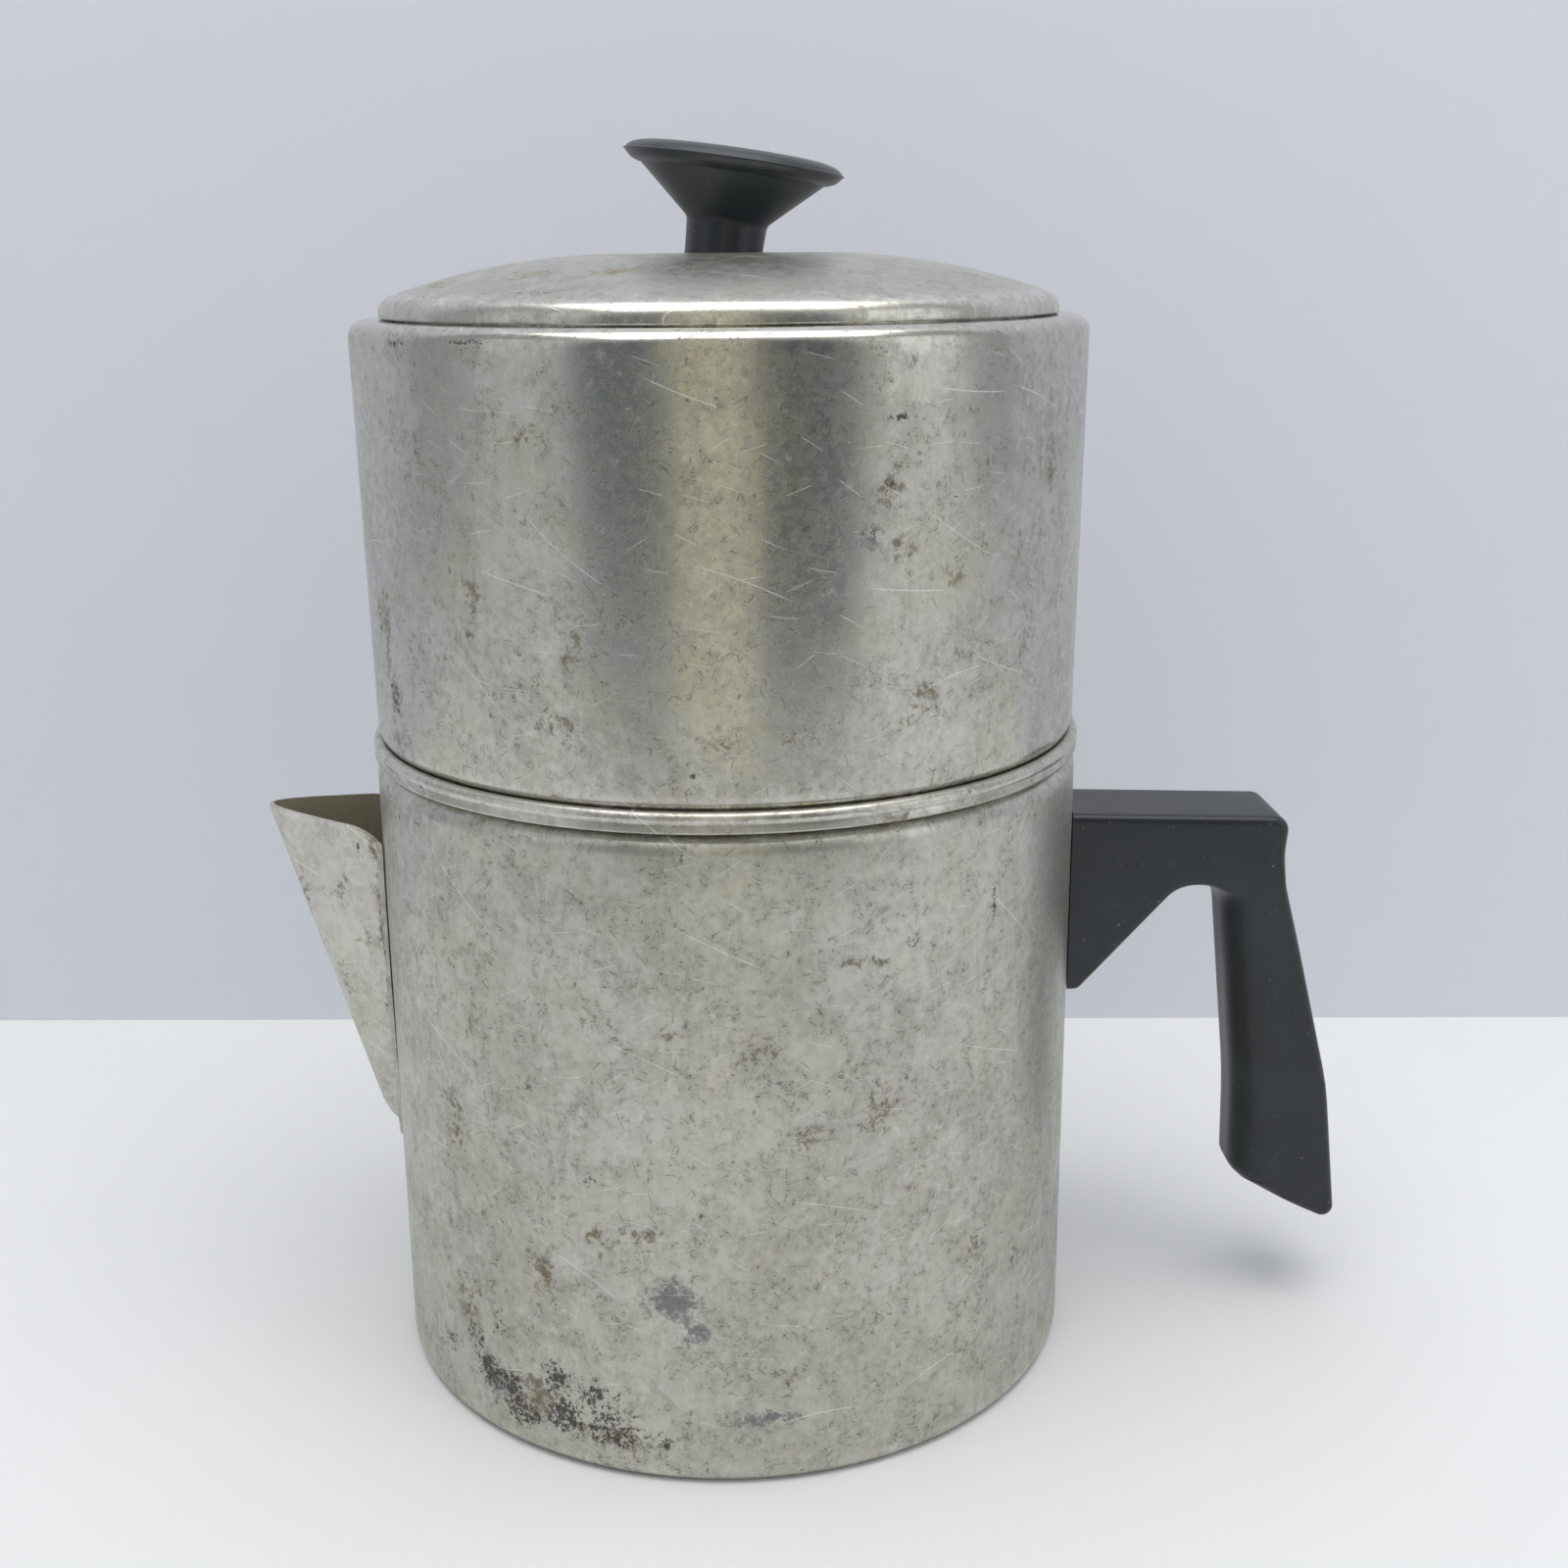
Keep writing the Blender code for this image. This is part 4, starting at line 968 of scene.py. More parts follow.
# ---------------------------------------------------------------- handle
def handle_corners(sizes):
    """The handle's outline: x, z and the radius of each corner."""
    wall, top, foot = sizes.radius, Levels(sizes).handle, 17.0 * MM
    inside = wall - 4.0 * MM
    return [
        (inside, top + 0.8 * MM, 0.0), (wall + 42.0 * MM, top - 0.6 * MM, 3.0 * MM),
        (wall + 41.5 * MM, top - 8.0 * MM, 15.0 * MM),
        (wall + 42.2 * MM, top - 14.7 * MM, 15.0 * MM),
        (wall + 53.0 * MM, foot + 30.5 * MM, 60.0 * MM), (wall + 56.6 * MM, foot, 2.2 * MM),
        (wall + 35.4 * MM, foot + 10.0 * MM, 3.5 * MM),
        (wall + 34.9 * MM, foot + 29.0 * MM, 100.0 * MM),
        (wall + 29.1 * MM, top - 5.2 * MM, 6.9 * MM), (wall + 1.8 * MM, top - 35.4 * MM, 2.0 * MM),
        (inside, top - 35.5 * MM, 0.0),
    ]


def rounded_outline(corners, degrees_per_step=5.0, step=2.0 * MM):
    """Points round an outline whose corners are rounded, spread out along its straight runs."""
    points = []
    for index, (x, z, radius) in enumerate(corners):
        here = Vector((x, z))
        before = Vector(corners[index - 1][:2]) - here
        after = Vector(corners[(index + 1) % len(corners)][:2]) - here
        if radius <= 0.0:
            points.append((x, z))
            continue
        half = before.angle(after) / 2.0
        reach = min(radius / math.tan(half), 0.48 * before.length, 0.48 * after.length)
        real = reach * math.tan(half)
        start = here + before.normalized() * reach
        end = here + after.normalized() * reach
        bisector = (before.normalized() + after.normalized()).normalized()
        centre = here + bisector * (real / math.sin(half))
        sweep = -(start - centre).angle_signed(end - centre)
        count = max(2, math.ceil(abs(math.degrees(sweep)) / degrees_per_step))
        for k in range(count + 1):
            spoke = Matrix.Rotation(sweep * k / count, 2) @ (start - centre)
            points.append(tuple(centre + spoke))
    return spaced(points + [points[0]], step)[:-1]


def ramp(value, low, high):
    share = min(max((value - low) / (high - low), 0.0), 1.0)
    return share * share * (3.0 - 2.0 * share)


def handle_softness(sizes, x, z):
    """1 where the fingers go round the grip, and 0 where the handle's edges are crisp."""
    x_mm, z_mm = (x - sizes.radius) / MM, z / MM
    grip = ramp(z_mm, 17.0, 24.0) * ramp(z_mm, 101.0, 88.0)
    return grip * ramp(x_mm, 45.0, 36.5) * ramp(x_mm, 24.5, 30.0)


CRISP_EDGE, SOFT_EDGE = 1.5 * MM, 7.6 * MM


def evened(values, rounds):
    """Values round a closed outline, each averaged with its neighbours a number of times."""
    for _ in range(rounds):
        values = [(values[k - 1] + 2.0 * values[k] + values[(k + 1) % len(values)]) / 4.0
                  for k in range(len(values))]
    return values


def outward_normals(outline):
    """The direction out of the outline at each point, longer at a sharp corner."""
    count, normals = len(outline), []
    for k, (x, z) in enumerate(outline):
        back = Vector(outline[k - 1]) - Vector((x, z))
        ahead = Vector(outline[(k + 1) % count]) - Vector((x, z))
        first = Vector((back.y, -back.x)).normalized()
        second = Vector((-ahead.y, ahead.x)).normalized()
        mean = (first + second).normalized()
        normals.append(mean / max(mean.dot(first), 0.5))
    area = sum(outline[k - 1][0] * outline[k][1] - outline[k][0] * outline[k - 1][1]
               for k in range(count))
    outwards = 1.0 if area < 0.0 else -1.0
    return [normal * outwards for normal in normals]


def handle_rows(sizes, outline, across, corner):
    """Copies of the outline from one side of the handle to the other, drawn in at the edges."""
    softness = evened([handle_softness(sizes, x, z) for x, z in outline], 8)
    rounding = [CRISP_EDGE + (SOFT_EDGE - CRISP_EDGE) * soft for soft in softness]
    # a soft edge is drawn in across the grip, so that it stays whole round the foot's corner
    normals = [normal.lerp(Vector((-1.0, 0.0)), min(1.6 * soft, 1.0))
               for normal, soft in zip(outward_normals(outline), softness)]
    half = 0.5 * sizes.handle_thickness
    seat = sizes.radius + SEAT_GAP

    def against_wall(x, y, z):
        """The point, moved out to the pot's wall where it would be inside it."""
        return max(x, math.sqrt(seat ** 2 - y ** 2)), y, z

    rings = [(1.0, 0.0, 0.35 * MM)]
    for k in range(corner, -1, -1):
        angle = 0.5 * math.pi * k / corner
        rings.append((1.0 - math.cos(angle), 1.0 - math.sin(angle), 0.0))
    rows = [[against_wall(x - n.x * (inset * r + extra), -(half - drop * r),
                          z - n.y * (inset * r + extra))
             for (x, z), n, r in zip(outline, normals, rounding)]
            for inset, drop, extra in rings]
    for k in range(1, across):
        share = -1.0 + 2.0 * k / across
        rows.append([against_wall(x, share * (half - r), z)
                     for (x, z), r in zip(outline, rounding)])
    return rows + [[(x, -y, z) for x, y, z in row] for row in reversed(rows[:len(rings)])]


def make_handle(sizes, finish, across=8, corner=8):
    outline = rounded_outline(handle_corners(sizes))
    rows = handle_rows(sizes, outline, across, corner)
    count = len(outline)
    faces = []
    for row in range(len(rows) - 1):
        for k in range(count):
            one, two = row * count + k, row * count + (k + 1) % count
            faces.append((one, two, two + count, one + count))
    faces.append(tuple(range(count)))
    faces.append(tuple(range((len(rows) - 1) * count, len(rows) * count)))
    mesh = bpy.data.meshes.new("pot_handle")
    mesh.from_pydata([point for row in rows for point in row], [], faces)
    work = bmesh.new()
    work.from_mesh(mesh)
    bmesh.ops.remove_doubles(work, verts=work.verts, dist=WELD)
    bmesh.ops.recalc_face_normals(work, faces=work.faces)
    bmesh.ops.triangulate(work, faces=[f for f in work.faces if len(f.verts) > 4])
    work.to_mesh(mesh)
    work.free()
    handle = new_object("pot_handle", mesh)
    # the 0.74 tone, against 1.2 on the knob, darkens the handle's bakelite as painted shade, as
    # though the handle stood in shade
    settle(handle, moulded_bakelite("handle_bakelite_painted_shade", finish, 0.74), 40.0)
    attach(handle, "server")
    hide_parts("handle")


# ---------------------------------------------------------------- coffee basket and spreader
# how many holes each ring has, and its radius
BASKET_RINGS = ((1, 0.0), (6, 14.0 * MM), (12, 28.0 * MM), (18, 43.0 * MM))
SPREADER_RINGS, SPREADER_HOLE = BASKET_RINGS[1:], 1.5 * MM
BEAD, BEAD_LIP = 1.25 * MM, 0.45 * MM


def basket_outline(sizes, at):
    """Inner side from the floor up to the rim, over the rolled bead, and down the outer side."""
    sheet, corner = sizes.basket_sheet, 3.0 * MM
    bottom = sizes.height - sizes.basket_depth
    low_outer = at.basket - sizes.basket_step
    low_inner = low_outer - sheet
    roll = sizes.radius + 0.35 * MM
    under = sizes.height + SEAT_GAP
    inner = [(0.0, bottom + sheet)]
    inner += arc(low_inner - corner + sheet, bottom + corner, corner - sheet, -90.0, 0.0, 6)
    inner += [(low_inner, at.step_seat), (at.basket_inner, at.step_seat)]
    inner += arc(at.basket, at.rim_flat - sheet, sheet, 180.0, 90.0, 6)
    inner += arc(roll - BEAD - 1.2 * MM, at.rim_flat + 0.5 * MM, 0.5 * MM, -90.0, -30.0, 3)
    inner += arc(roll - BEAD, under + 2.45 * MM, BEAD, 150.0, -42.0, 14)
    inner += arc(roll - BEAD_LIP - 0.06 * MM, under + BEAD_LIP + 0.02 * MM, BEAD_LIP, 48.0,
                 -90.0, 7)
    outer = [(at.basket + 0.5 * MM, under)]
    outer += arc(at.basket + 0.5 * MM, under - 0.5 * MM, 0.5 * MM, 90.0, 180.0, 4)[1:]
    outer += [(at.basket, at.step), (low_outer, at.step)]
    outer += arc(low_outer - corner, bottom + corner, corner, 0.0, -90.0, 8)
    outer += [(0.0, bottom)]
    return spaced(inner + outer, 4.0 * MM)


def make_basket(sizes, finish):
    at = Levels(sizes)
    metal = worn_aluminium("basket_aluminium", finish, rough=0.36, tarnish=0.45, stain=1.05,
                           specks=0.45)
    basket = turned("coffee_basket", basket_outline(sizes, at), metal, sizes.turns)
    bore_rings(basket, BASKET_RINGS, sizes.hole_radius, sizes.height - sizes.basket_depth,
               6.0 * sizes.basket_sheet, metal)
    settle(basket, metal)
    marks = scattered(23, 70, 72.0, 119.0, 0.0)
    marks += [(SOOT, -60, 121.5, 3, 1, 0.8), (SOOT, -38, 122, 4, 0.8, 0.7),
              (SOOT, -52, 122, 2, 0.8, 0.8), (SOOT, 12, 121.8, 5, 0.5, 0.6),
              (SOOT, 40, 121.4, 3, 0.8, 0.5), (COFFEE, 25, 121.0, 8, 0.8, 0.6)]
    paint_marks(basket, marks, [(122.8, 1.4, 0.9)])
    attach(basket, "basket")
    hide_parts("basket_shell")


def make_spreader(sizes, finish):
    at = Levels(sizes)
    sheet, stem = 1.0 * MM, 2.0 * MM
    low, top = at.spreader, at.spreader + sheet
    edge = 0.25 * MM
    rim, bore = at.basket_inner - SLIDE_GAP, stem + SEAT_GAP
    metal = worn_aluminium("spreader_aluminium", finish, plane="lid", rough=0.33, tarnish=0.4,
                           stain=1.15, specks=0.4)
    outline = [(bore, top), (rim - edge, top), (rim, top - edge), (rim, low + edge),
               (rim - edge, low), (bore, low)]
    plate = turned("water_spreader", spaced(outline + [outline[0]], 3.0 * MM), metal, sizes.turns)
    bore_rings(plate, SPREADER_RINGS, SPREADER_HOLE, low, 6.0 * sheet, metal)
    settle(plate, metal)
    paint_marks(plate, scattered(31, 40, 8.0, 54.0, 0.0), by_radius=True)
    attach(plate, "spreader")
    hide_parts("spreader_plate")

    grip, tall = 4.2 * MM, 7.0 * MM
    above, below, head = top + SEAT_GAP, low - SEAT_GAP, 3.2 * MM
    outline = [(0.0, top + tall), (0.45 * grip, top + tall)]
    outline += arc(grip - 1.3 * MM, top + tall - 1.5 * MM, 1.3 * MM, 84.0, -58.0, 12)
    outline += arc(0.7 * grip + 1.0 * MM, above + 1.6 * MM, 1.0 * MM, 178.0, 200.0, 3)
    outline += [(0.7 * grip, above + 0.3 * MM), (0.7 * grip, above), (stem, above), (stem, below)]
    outline += [(head, below)] + arc(head - 0.8 * MM, below, 0.8 * MM, 0.0, -90.0, 5)[1:]
    outline.append((0.0, below - 0.8 * MM))
    metal = worn_aluminium("grip_aluminium", finish, plane="lid", rough=0.30, tarnish=0.3,
                           stain=0.9, specks=0.3)
    knob = turned("spreader_finger_grip", outline, metal, 64)
    paint_marks(knob, [], [(110.0, 1.5, 0.8)])
    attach(knob, "spreader")
    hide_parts("spreader_grip")


# ---------------------------------------------------------------- water reservoir
def reservoir_outline(sizes, at):
    wall, rim, foot, spigot = sizes.wall, 2.8 * MM, 4.0 * MM, 1.5 * MM
    foot_radius = at.reservoir_radius - sizes.taper
    outer = soft_mouth(at.rim_mouth, at.rim)
    outer += arc(at.reservoir_radius - rim, at.rim - rim, rim, 90.0, 0.0, 10)
    outer += arc(foot_radius - foot, at.reservoir + foot, foot, 0.0, -90.0, 12)
    outer += [(at.spigot + 0.4 * MM, at.reservoir)]
    outer += arc(at.spigot + 0.4 * MM, at.reservoir - 0.4 * MM, 0.4 * MM, 90.0, 180.0, 3)[1:]
    outer += arc(at.spigot - spigot, at.spigot_floor + spigot, spigot, 0.0, -90.0, 6)
    outer += [(0.0, at.spigot_floor)]
    top_in = at.reservoir_radius - wall
    inner = [(at.rim_mouth, at.rim - wall)]
    inner += arc(top_in - rim + wall, at.rim - rim, rim - wall, 90.0, 0.0, 6)
    inner += arc(foot_radius - foot, at.reservoir + foot, foot - wall, 0.0, -90.0, 8)
    inner += [(at.spigot - wall, at.reservoir + wall)]
    inner += arc(at.spigot - spigot, at.spigot_floor + spigot, spigot - wall, 0.0, -90.0, 2)
    inner += [(0.0, at.spigot_floor + wall)]
    return vessel(spaced(outer, FINE), spaced(inner, COARSE))


DRIP_RINGS, DRIP_HOLE = ((1, 0.0), (6, 12.0 * MM), (12, 24.0 * MM)), 1.0 * MM
RESERVOIR_PITS = (((-5.56, -66.0, 129.9), 0.75), ((-5.1, -66.0, 130.5), 0.5))   # in mm


def make_reservoir(sizes, finish):
    at = Levels(sizes)
    metal = worn_aluminium("reservoir_aluminium", finish, rough=0.235, tarnish=0.46, stain=0.60,
                           specks=0.75, pits=RESERVOIR_PITS)
    body = turned("water_reservoir", reservoir_outline(sizes, at), metal, sizes.turns)
    bore_rings(body, DRIP_RINGS, DRIP_HOLE, at.spigot_floor, 6.0 * sizes.wall, metal)
    settle(body, metal)
    paint_marks(body, RESERVOIR_MARKS + scattered(47, 80, 124.0, 196.0),
                [(198.6, 1.3, 1.0), (123.6, 1.6, 0.7)])
    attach(body, "reservoir")
    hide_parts("reservoir_body")


# ---------------------------------------------------------------- lid and knob
def lid_outline(sizes, at):
    sheet, skirt = 1.2 * MM, at.rim_mouth - SLIDE_GAP
    inner = skirt - sheet
    slope = math.degrees(at.slope)
    centre = at.lid_top - sizes.dome
    inner_slope = math.degrees(math.asin((inner - at.crown) / sizes.dome))
    low = at.lid - 5.5 * MM
    outline = [(0.0, at.lid_top)] + arc(at.crown, centre, sizes.dome, 90.0, 90.0 - slope, 14)
    outline += arc(at.brim, at.lid + at.band, sizes.lid_edge, 90.0 - slope, 0.0, 14)[1:]
    outline += arc(at.lid_radius - EDGE, at.lid + EDGE, EDGE, 0.0, -90.0, 4)
    outline += [(skirt, at.lid), (skirt, low + EDGE), (skirt - EDGE, low), (inner + EDGE, low),
                (inner, low + EDGE)]
    outline += arc(at.crown, centre, sizes.dome - sheet, 90.0 - inner_slope, 90.0, 14)
    outline.append((0.0, at.lid_top - sheet))
    return spaced(outline, FINE)


KNOB_OFFSET = 0.7 * MM       # how far the knob's screw stands from the axis
KNOB_SEAT = 0.03 * MM        # from the lid's top to the knob's cut foot
KNOB_RECESS = 3.0 * MM       # from the lid's top up to the knob's insert
KNOB_BORE, KNOB_BORE_DEPTH = 3.7 * MM, 16.6 * MM


def make_lid(sizes, finish):
    at = Levels(sizes)
    metal = worn_aluminium("lid_aluminium", finish, plane="lid", tone=1.06, rough=0.31,
                           tarnish=0.40, stain=0.80, specks=0.60)
    lid = turned("pot_lid", lid_outline(sizes, at), metal, sizes.turns)
    bore_row(lid, 1, (KNOB_OFFSET, 0.0, at.lid_top), STILL, sizes.screw_radius + 0.9 * MM,
             7.2 * MM, STILL, metal)
    settle(lid, metal)
    paint_marks(lid, LID_MARKS + scattered(59, 60, 14.0, 60.0), [(59.2, 2.2, 1.0)], by_radius=True)
    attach(lid, "lid")
    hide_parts("lid_shell")


def curved(points, count=10):
    """A smooth run through points, by a Catmull-Rom curve."""
    ends = [points[0]] + list(points) + [points[-1]]
    run = []
    for k in range(1, len(ends) - 2):
        a, b, c, d = (np.array(p) for p in ends[k - 1:k + 3])
        for i in range(count):
            t = i / count
            run.append(tuple(0.5 * (2 * b + (c - a) * t + (2 * a - 5 * b + 4 * c - d) * t * t
                                    + (3 * b - a - 3 * c + d) * t ** 3)))
    return run + [tuple(points[-1])]


def knob_outline(sizes):
    """The knob about its axis: two rolls that meet in a sharp moulding line, a cone, a neck."""
    rim = sizes.knob_radius / MM
    parting = 15.62
    top = curved([(0.0, 17.70), (6.0, 17.70), (12.0, 17.64), (16.0, 17.42), (18.1, 16.92),
                  (19.15, 16.30), (19.55, 15.84)], 6)
    under = curved([(19.55, 15.42), (19.15, 14.92), (18.40, 14.28), (17.40, 13.84),
                    (16.70, 13.72)], 6)
    cone = [(16.42, 13.58), (16.20, 13.36), (8.05, 6.20)]
    neck = curved([(7.60, 5.76), (7.34, 5.30), (7.24, 4.60), (7.10, 2.2), (7.0, 0.0)], 4)
    outline = top + [(rim, parting)] + under + cone + neck + [(7.0, -4.0), (0.0, -4.0)]
    return [(x * MM, z * MM) for x, z in outline]


def knob_place(sizes, at):
    """Sets the knob and its fastening on the lid's top, leaning to the handle."""
    return (Matrix.Translation((KNOB_OFFSET, 0.0, at.lid_top))
            @ Matrix.Rotation(sizes.knob_lean, 4, "Y"))


def make_knob(sizes, finish):
    at = Levels(sizes)
    plain = moulded_bakelite("knob_bakelite", finish, 1.2)
    knob = turned("lid_knob", knob_outline(sizes), plain, 128)
    place = knob_place(sizes, at)
    knob.data.transform(place)
    work = bmesh.new()
    work.from_mesh(knob.data)
    seat = Vector((0.0, 0.0, at.lid_top + KNOB_SEAT))
    cut = bmesh.ops.bisect_plane(work, geom=work.verts[:] + work.edges[:] + work.faces[:],
                                 plane_co=seat, plane_no=(0.0, 0.0, 1.0), clear_inner=True)
    rim = [e for e in cut["geom_cut"] if isinstance(e, bmesh.types.BMEdge)]
    bmesh.ops.contextual_create(work, geom=rim)
    work.to_mesh(knob.data)
    work.free()
    centre = place @ Vector((0.0, 0.0, KNOB_RECESS))
    bore_row(knob, 1, tuple(centre), STILL, KNOB_BORE, KNOB_BORE_DEPTH,
             (0.0, sizes.knob_lean, 0.0), plain, 48)
    settle(knob, plain, 38.0)
    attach(knob, "lid")
    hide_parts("knob")


# ---------------------------------------------------------------- screws, washers and inserts
PITCH, SCREW_HEAD, HEAD_TALL = 0.7 * MM, 3.8 * MM, 2.0 * MM
SLOT, SLOT_HEIGHT = (12.0 * MM, 0.9 * MM, 2.0 * MM), -2.1 * MM
WASHER, WASHER_SHEET = 5.4 * MM, 0.9 * MM
INSERT, INSERT_LONG, INSERT_GROOVES = 3.4 * MM, 8.0 * MM, 3
SCREW_PAST = 7.1 * MM        # how far a screw's shank goes into its insert
CAD_FACETS = 40


def screw_outline(sizes, shank):
    """A pan-head screw from the end of its shank to its head, which is below z = 0."""
    r, root = sizes.screw_radius, sizes.screw_radius - 0.25 * MM
    outline = [(0.0, shank), (root, shank)]
    for k in range(int(shank / PITCH) - 2):
        z = shank - 0.3 * MM - k * PITCH
        outline += [(r, z - 0.25 * PITCH), (root, z - 0.75 * PITCH)]
    outline += [(r, 1.0 * MM), (r, 0.0), (SCREW_HEAD - 0.2 * MM, 0.0), (SCREW_HEAD, -0.2 * MM)]
    outline += arc(SCREW_HEAD - 1.2 * MM, -0.8 * MM, 1.2 * MM, 0.0, -90.0, 6)
    outline.append((0.0, -HEAD_TALL))
    return outline


def ring_outline(outer, inner, low, high, edge=0.12 * MM, grooves=0):
    """A closed ring with softened edges, and grooves round its outer side."""
    outline = [(inner, high), (outer - edge, high), (outer, high - edge)]
    for k in range(grooves):
        z = high - (high - low) * (k + 1) / (grooves + 1)
        outline += [(outer, z + 0.3 * MM), (outer - 0.35 * MM, z), (outer, z - 0.3 * MM)]
    return outline + [(outer, low + edge), (outer - edge, low), (inner, low)]


def make_fasteners(sizes, names, metals, shank, washer_top, insert_low, heads, others):
    """A row of screws, washers and inserts. The last two say where the heads and the others go.

    Heights are along the screw, from the place that the row gives.
    """
    steel, brass = metals
    bore = sizes.screw_radius + SEAT_GAP
    screws = turned(names[0], screw_outline(sizes, shank), steel, 40)
    add_step(screws, "screws", Slot=SLOT, Slot_Height=SLOT_HEIGHT, Material=steel, **heads)
    washers = turned(names[1], ring_outline(WASHER, bore, washer_top - WASHER_SHEET, washer_top),
                     steel, 48, closed=True)
    inserts = turned(names[2], ring_outline(INSERT, bore, insert_low, insert_low + INSERT_LONG,
                                            grooves=INSERT_GROOVES), brass, 48, closed=True)
    for piece, metal in ((washers, steel), (inserts, brass)):
        add_step(piece, "copies", Material=metal, **others)
    for piece, metal in ((screws, steel), (washers, steel), (inserts, brass)):
        settle(piece, metal)
    return ((screws, "screw", "steel"), (washers, "washer", "steel"),
            (inserts, "insert", "brass"))


def make_hardware(sizes, finish):
    at = Levels(sizes)
    metals = (turned_metal("plated_steel", tuple(finish.steel), (0.30, 0.29, 0.27), 0.24),
              turned_metal("turned_brass", tuple(finish.brass), (0.26, 0.17, 0.08), 0.26))

    # the handle's washers clear the CAD wall's facets, which cut in a little at their corners
    facet = (sizes.radius - sizes.wall) * (1.0 - math.cos(math.pi / CAD_FACETS))
    wall_in = math.sqrt((sizes.radius - sizes.wall) ** 2 - WASHER ** 2) - facet
    seat = wall_in - 2.0 * SEAT_GAP - WASHER_SHEET
    reach = sizes.radius + SEAT_GAP + WASHER_SHEET - seat
    row = {"Count": HANDLE_SCREWS, "Start": (seat, 0.0, at.handle - SCREW_DROP),
           "Step": (0.0, 0.0, SCREW_SPACING), "Direction": EAST}
    for piece, kind, slot in make_fasteners(
            sizes, ("handle_screws", "handle_washers", "handle_inserts"), metals,
            reach + SCREW_PAST, SEAT_GAP + WASHER_SHEET, reach, row, row):
        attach(piece, "server")
        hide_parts("handle_%s_upper" % kind, "handle_%s_lower" % kind)

    lean, place = sizes.knob_lean, knob_place(sizes, at)
    washer_top = -(1.2 * MM + SEAT_GAP) / math.cos(lean) - WASHER * math.tan(lean)
    head = washer_top - WASHER_SHEET - SEAT_GAP
    leaning = {"Count": 1, "Step": STILL, "Direction": (0.0, lean, 0.0)}
    for piece, kind, slot in make_fasteners(
            sizes, ("knob_fixing_screw", "knob_fixing_washer", "knob_fixing_insert"), metals,
            KNOB_RECESS + SCREW_PAST - head, washer_top, KNOB_RECESS,
            {"Start": tuple(place @ Vector((0.0, 0.0, head))), **leaning},
            {"Start": tuple(place.translation), **leaning}):
        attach(piece, "lid")
        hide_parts("knob_" + kind)


# ---------------------------------------------------------------- stage
def sheet_object(name, corners, material):
    mesh = bpy.data.meshes.new(name)
    mesh.from_pydata(corners, [], [(0, 1, 2, 3)])
    mesh.materials.append(material)
    obj = new_object(name, mesh)
    return obj


def painted(name, tone, shift):
    """Matt paint with a faint unevenness."""
    material, graph, shader = new_finish(name)
    place = object_mm(graph)
    cloud = graph.noise(place, 0.012, 3.0)
    tooth = graph.noise(place, 1.5, 3.0)
    tint = graph.mix(cloud, tone, tuple(c * shift for c in tone))
    graph.feed(shader.inputs["Base Color"], tint)
    graph.feed(shader.inputs["Roughness"], 0.62 + tooth * 0.2)
    add_relief(graph, shader, tooth, 0.15, 0.03 * MM)
    return material, graph, shader


def soft_light(name, place, aim, size, power, tone):
    data = bpy.data.lights.new(name, "AREA")
    data.shape = "RECTANGLE"
    data.size, data.size_y = size
    data.energy = power
    data.color = tone
    lamp = new_object(name, data)
    lamp.location = place
    lamp.rotation_mode = "QUATERNION"
    lamp.rotation_quaternion = (Vector(place) - Vector(aim)).to_track_quat("Z", "Y")
    lamp.visible_camera = False


REACH, WALL_TALL = 4.0, 2.5


def make_floor(studio):
    paint, _, _ = painted("floor_paint", tuple(studio.floor), 0.97)
    sheet_object("floor", [(-REACH, -REACH, 0.0), (REACH, -REACH, 0.0), (REACH, REACH, 0.0),
                           (-REACH, REACH, 0.0)], paint)


def make_wall(studio):
    """A wall that is seen only from the pot's side, so that the pot can be walked round."""
    paint, graph, shader = painted("wall_paint", tuple(studio.backdrop), 0.98)
    clear = graph.node("ShaderNodeBsdfTransparent")
    behind = graph.node("ShaderNodeNewGeometry", output="Backfacing")
    sides = graph.tree.nodes.new("ShaderNodeMixShader")
    graph.feed(sides.inputs[0], behind)
    graph.tree.links.new(shader.outputs[0], sides.inputs[1])
    graph.feed(sides.inputs[2], clear)
    graph.tree.links.new(sides.outputs[0], graph.tree.nodes["Material Output"].inputs[0])
    back, turn = studio.wall_distance, REACH * math.tan(studio.wall_turn)
    sheet_object("backdrop_wall", [(-REACH, back - turn, 0.0), (REACH, back + turn, 0.0),
                                   (REACH, back + turn, WALL_TALL),
                                   (-REACH, back - turn, WALL_TALL)], paint)


# the flags stand in front of the pot and are seen only in the metal: left, right and cloth
FLAGS = {"flag_left": (-0.46, -0.135, (0.16, 0.19, 0.20)),
         "flag_right": (0.085, 0.42, (0.10, 0.12, 0.12)),
         "flag_middle": (-0.135, 0.085, (0.92, 0.86, 0.64))}
FLAG_FRONT, FLAG_LOW, FLAG_TOP = -0.52, 0.004, 0.60


def make_flags():
    for name, (left, right, tone) in FLAGS.items():
        cloth, _, _ = painted(name + "_cloth", tone, 0.85)
        flag = sheet_object(name, [(left, FLAG_FRONT, FLAG_LOW), (right, FLAG_FRONT, FLAG_LOW),
                                   (right, FLAG_FRONT, FLAG_TOP), (left, FLAG_FRONT, FLAG_TOP)],
                            cloth)
        flag.visible_camera = False
        flag.visible_diffuse = False
        flag.visible_shadow = False


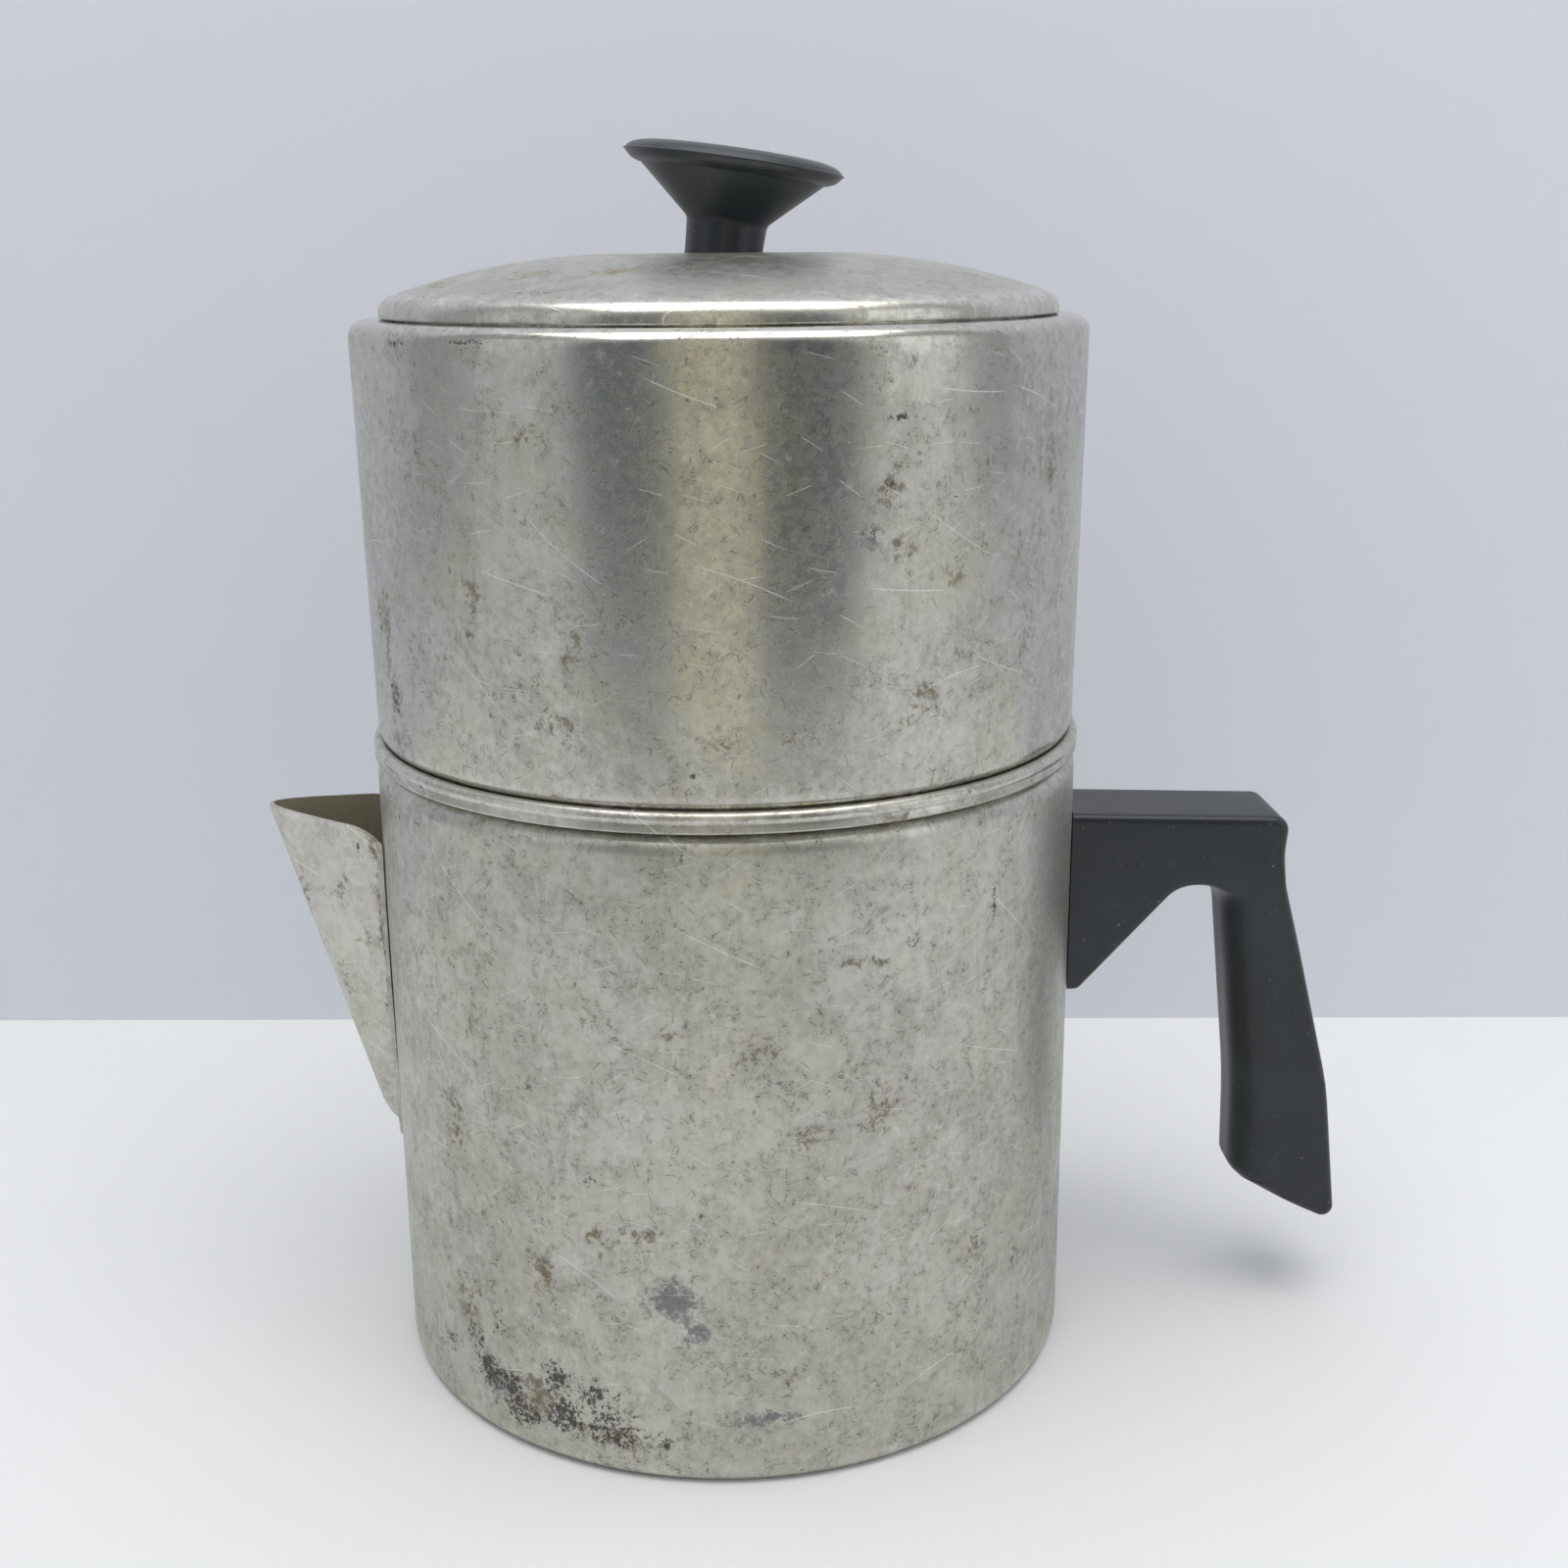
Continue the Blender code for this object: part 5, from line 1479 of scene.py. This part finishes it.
def make_lights(studio):
    for name, place, size, power, tone in (
            ("overhead", (0.02, -0.16, 1.15), (1.2, 0.9), studio.key, (1.0, 0.99, 0.97)),
            ("left_window", (-1.0, -0.55, 0.50), (0.7, 0.9), studio.left, (0.97, 0.985, 1.0)),
            ("right_window", (1.0, -0.60, 0.50), (0.7, 0.9), studio.right, (0.98, 0.99, 1.0))):
        soft_light(name, place, (0.0, 0.0, 0.10), size, power, tone)
    world = bpy.data.worlds.new("studio")
    bpy.context.scene.world = world
    world.use_nodes = True
    sky = world.node_tree.nodes["Background"]
    sky.inputs["Color"].default_value = (0.93, 0.95, 1.0, 1.0)
    sky.inputs["Strength"].default_value = studio.sky


CAMERA_PLACE, LENS_MM, SENSOR_MM = (0.0, -0.3519, 0.2089), 43.02, 36.0
PITCH_DOWN, YAW, ROLL = (math.radians(angle) for angle in (15.71, 1.77, -0.47))


def make_camera():
    camera = new_object("camera", bpy.data.cameras.new("camera"))
    camera.data.sensor_width = SENSOR_MM
    camera.data.lens = LENS_MM
    camera.data.clip_start = 0.01
    camera.matrix_world = (Matrix.Translation(CAMERA_PLACE) @ Matrix.Rotation(-YAW, 4, "Z")
                           @ Matrix.Rotation(0.5 * math.pi - PITCH_DOWN, 4, "X")
                           @ Matrix.Rotation(ROLL, 4, "Z"))
    bpy.context.scene.camera = camera
    bpy.context.scene.view_settings.view_transform = "Standard"


def make_stage(studio):
    make_floor(studio)
    make_wall(studio)
    make_flags()
    make_lights(studio)
    make_camera()


# ---------------------------------------------------------------- operators and panel
class PotOperator:
    """What the operators share: they build one piece from the scene's settings."""
    bl_options = {"REGISTER", "UNDO"}
    build = None

    def execute(self, context):
        type(self).build(context.scene.pot_sizes, context.scene.pot_finish)
        return {"FINISHED"}


class COFFEEPOT_OT_server(PotOperator, bpy.types.Operator):
    """Builds the server, which holds the coffee"""
    bl_idname = "coffeepot.server"
    bl_label = "Server"
    build = make_server


class COFFEEPOT_OT_spout(PotOperator, bpy.types.Operator):
    """Builds the folded spout and its flange"""
    bl_idname = "coffeepot.spout"
    bl_label = "Spout"
    build = make_spout


class COFFEEPOT_OT_handle(PotOperator, bpy.types.Operator):
    """Builds the bakelite handle"""
    bl_idname = "coffeepot.handle"
    bl_label = "Handle"
    build = make_handle


class COFFEEPOT_OT_basket(PotOperator, bpy.types.Operator):
    """Builds the coffee basket with its perforated floor and rolled rim"""
    bl_idname = "coffeepot.basket"
    bl_label = "Coffee Basket"
    build = make_basket


class COFFEEPOT_OT_spreader(PotOperator, bpy.types.Operator):
    """Builds the perforated water spreader and its finger grip"""
    bl_idname = "coffeepot.spreader"
    bl_label = "Water Spreader"
    build = make_spreader


class COFFEEPOT_OT_reservoir(PotOperator, bpy.types.Operator):
    """Builds the water reservoir with its drip holes"""
    bl_idname = "coffeepot.reservoir"
    bl_label = "Water Reservoir"
    build = make_reservoir


class COFFEEPOT_OT_lid(PotOperator, bpy.types.Operator):
    """Builds the domed lid with its rolled brim and skirt"""
    bl_idname = "coffeepot.lid"
    bl_label = "Lid"
    build = make_lid


class COFFEEPOT_OT_knob(PotOperator, bpy.types.Operator):
    """Builds the leaning bakelite knob"""
    bl_idname = "coffeepot.knob"
    bl_label = "Knob"
    build = make_knob


class COFFEEPOT_OT_hardware(PotOperator, bpy.types.Operator):
    """Builds the screws, washers and inserts of the handle and the knob"""
    bl_idname = "coffeepot.hardware"
    bl_label = "Screws, Washers and Inserts"
    build = make_hardware


class COFFEEPOT_OT_stage(bpy.types.Operator):
    """Builds the floor, the backdrop, the lights and the camera"""
    bl_idname = "coffeepot.stage"
    bl_label = "Stage"
    bl_options = {"REGISTER", "UNDO"}

    def execute(self, context):
        make_stage(context.scene.pot_studio)
        return {"FINISHED"}


PIECE_OPERATORS = (COFFEEPOT_OT_server, COFFEEPOT_OT_spout, COFFEEPOT_OT_handle,
                   COFFEEPOT_OT_basket, COFFEEPOT_OT_spreader, COFFEEPOT_OT_reservoir,
                   COFFEEPOT_OT_lid, COFFEEPOT_OT_knob, COFFEEPOT_OT_hardware,
                   COFFEEPOT_OT_stage)


class COFFEEPOT_PT_panel(bpy.types.Panel):
    """Sizes, finishes and the operators that build the pot"""
    bl_idname = "COFFEEPOT_PT_panel"
    bl_label = "Drip Coffee Pot"
    bl_space_type = "VIEW_3D"
    bl_region_type = "UI"
    bl_category = "Coffee Pot"

    def draw(self, context):
        layout = self.layout
        for label, group in (("Sizes", context.scene.pot_sizes),
                             ("Finishes", context.scene.pot_finish),
                             ("Studio", context.scene.pot_studio)):
            layout.label(text=label)
            column = layout.column(align=True)
            for name in group.__annotations__:
                column.prop(group, name)
        layout.label(text="Build")
        for operator in PIECE_OPERATORS:
            layout.operator(operator.bl_idname)


CLASSES = (PotSizes, PotFinish, StudioSettings, *PIECE_OPERATORS, COFFEEPOT_PT_panel)
SETTINGS = {"pot_sizes": PotSizes, "pot_finish": PotFinish, "pot_studio": StudioSettings}


def register():
    for cls in CLASSES:
        bpy.utils.register_class(cls)
    for name, group in SETTINGS.items():
        setattr(bpy.types.Scene, name, PointerProperty(type=group))


def unregister():
    for name in SETTINGS:
        delattr(bpy.types.Scene, name)
    for cls in reversed(CLASSES):
        bpy.utils.unregister_class(cls)


def main():
    register()
    for operator in PIECE_OPERATORS:
        group, name = operator.bl_idname.split(".")
        getattr(getattr(bpy.ops, group), name)()


if __name__ == "__main__":
    main()
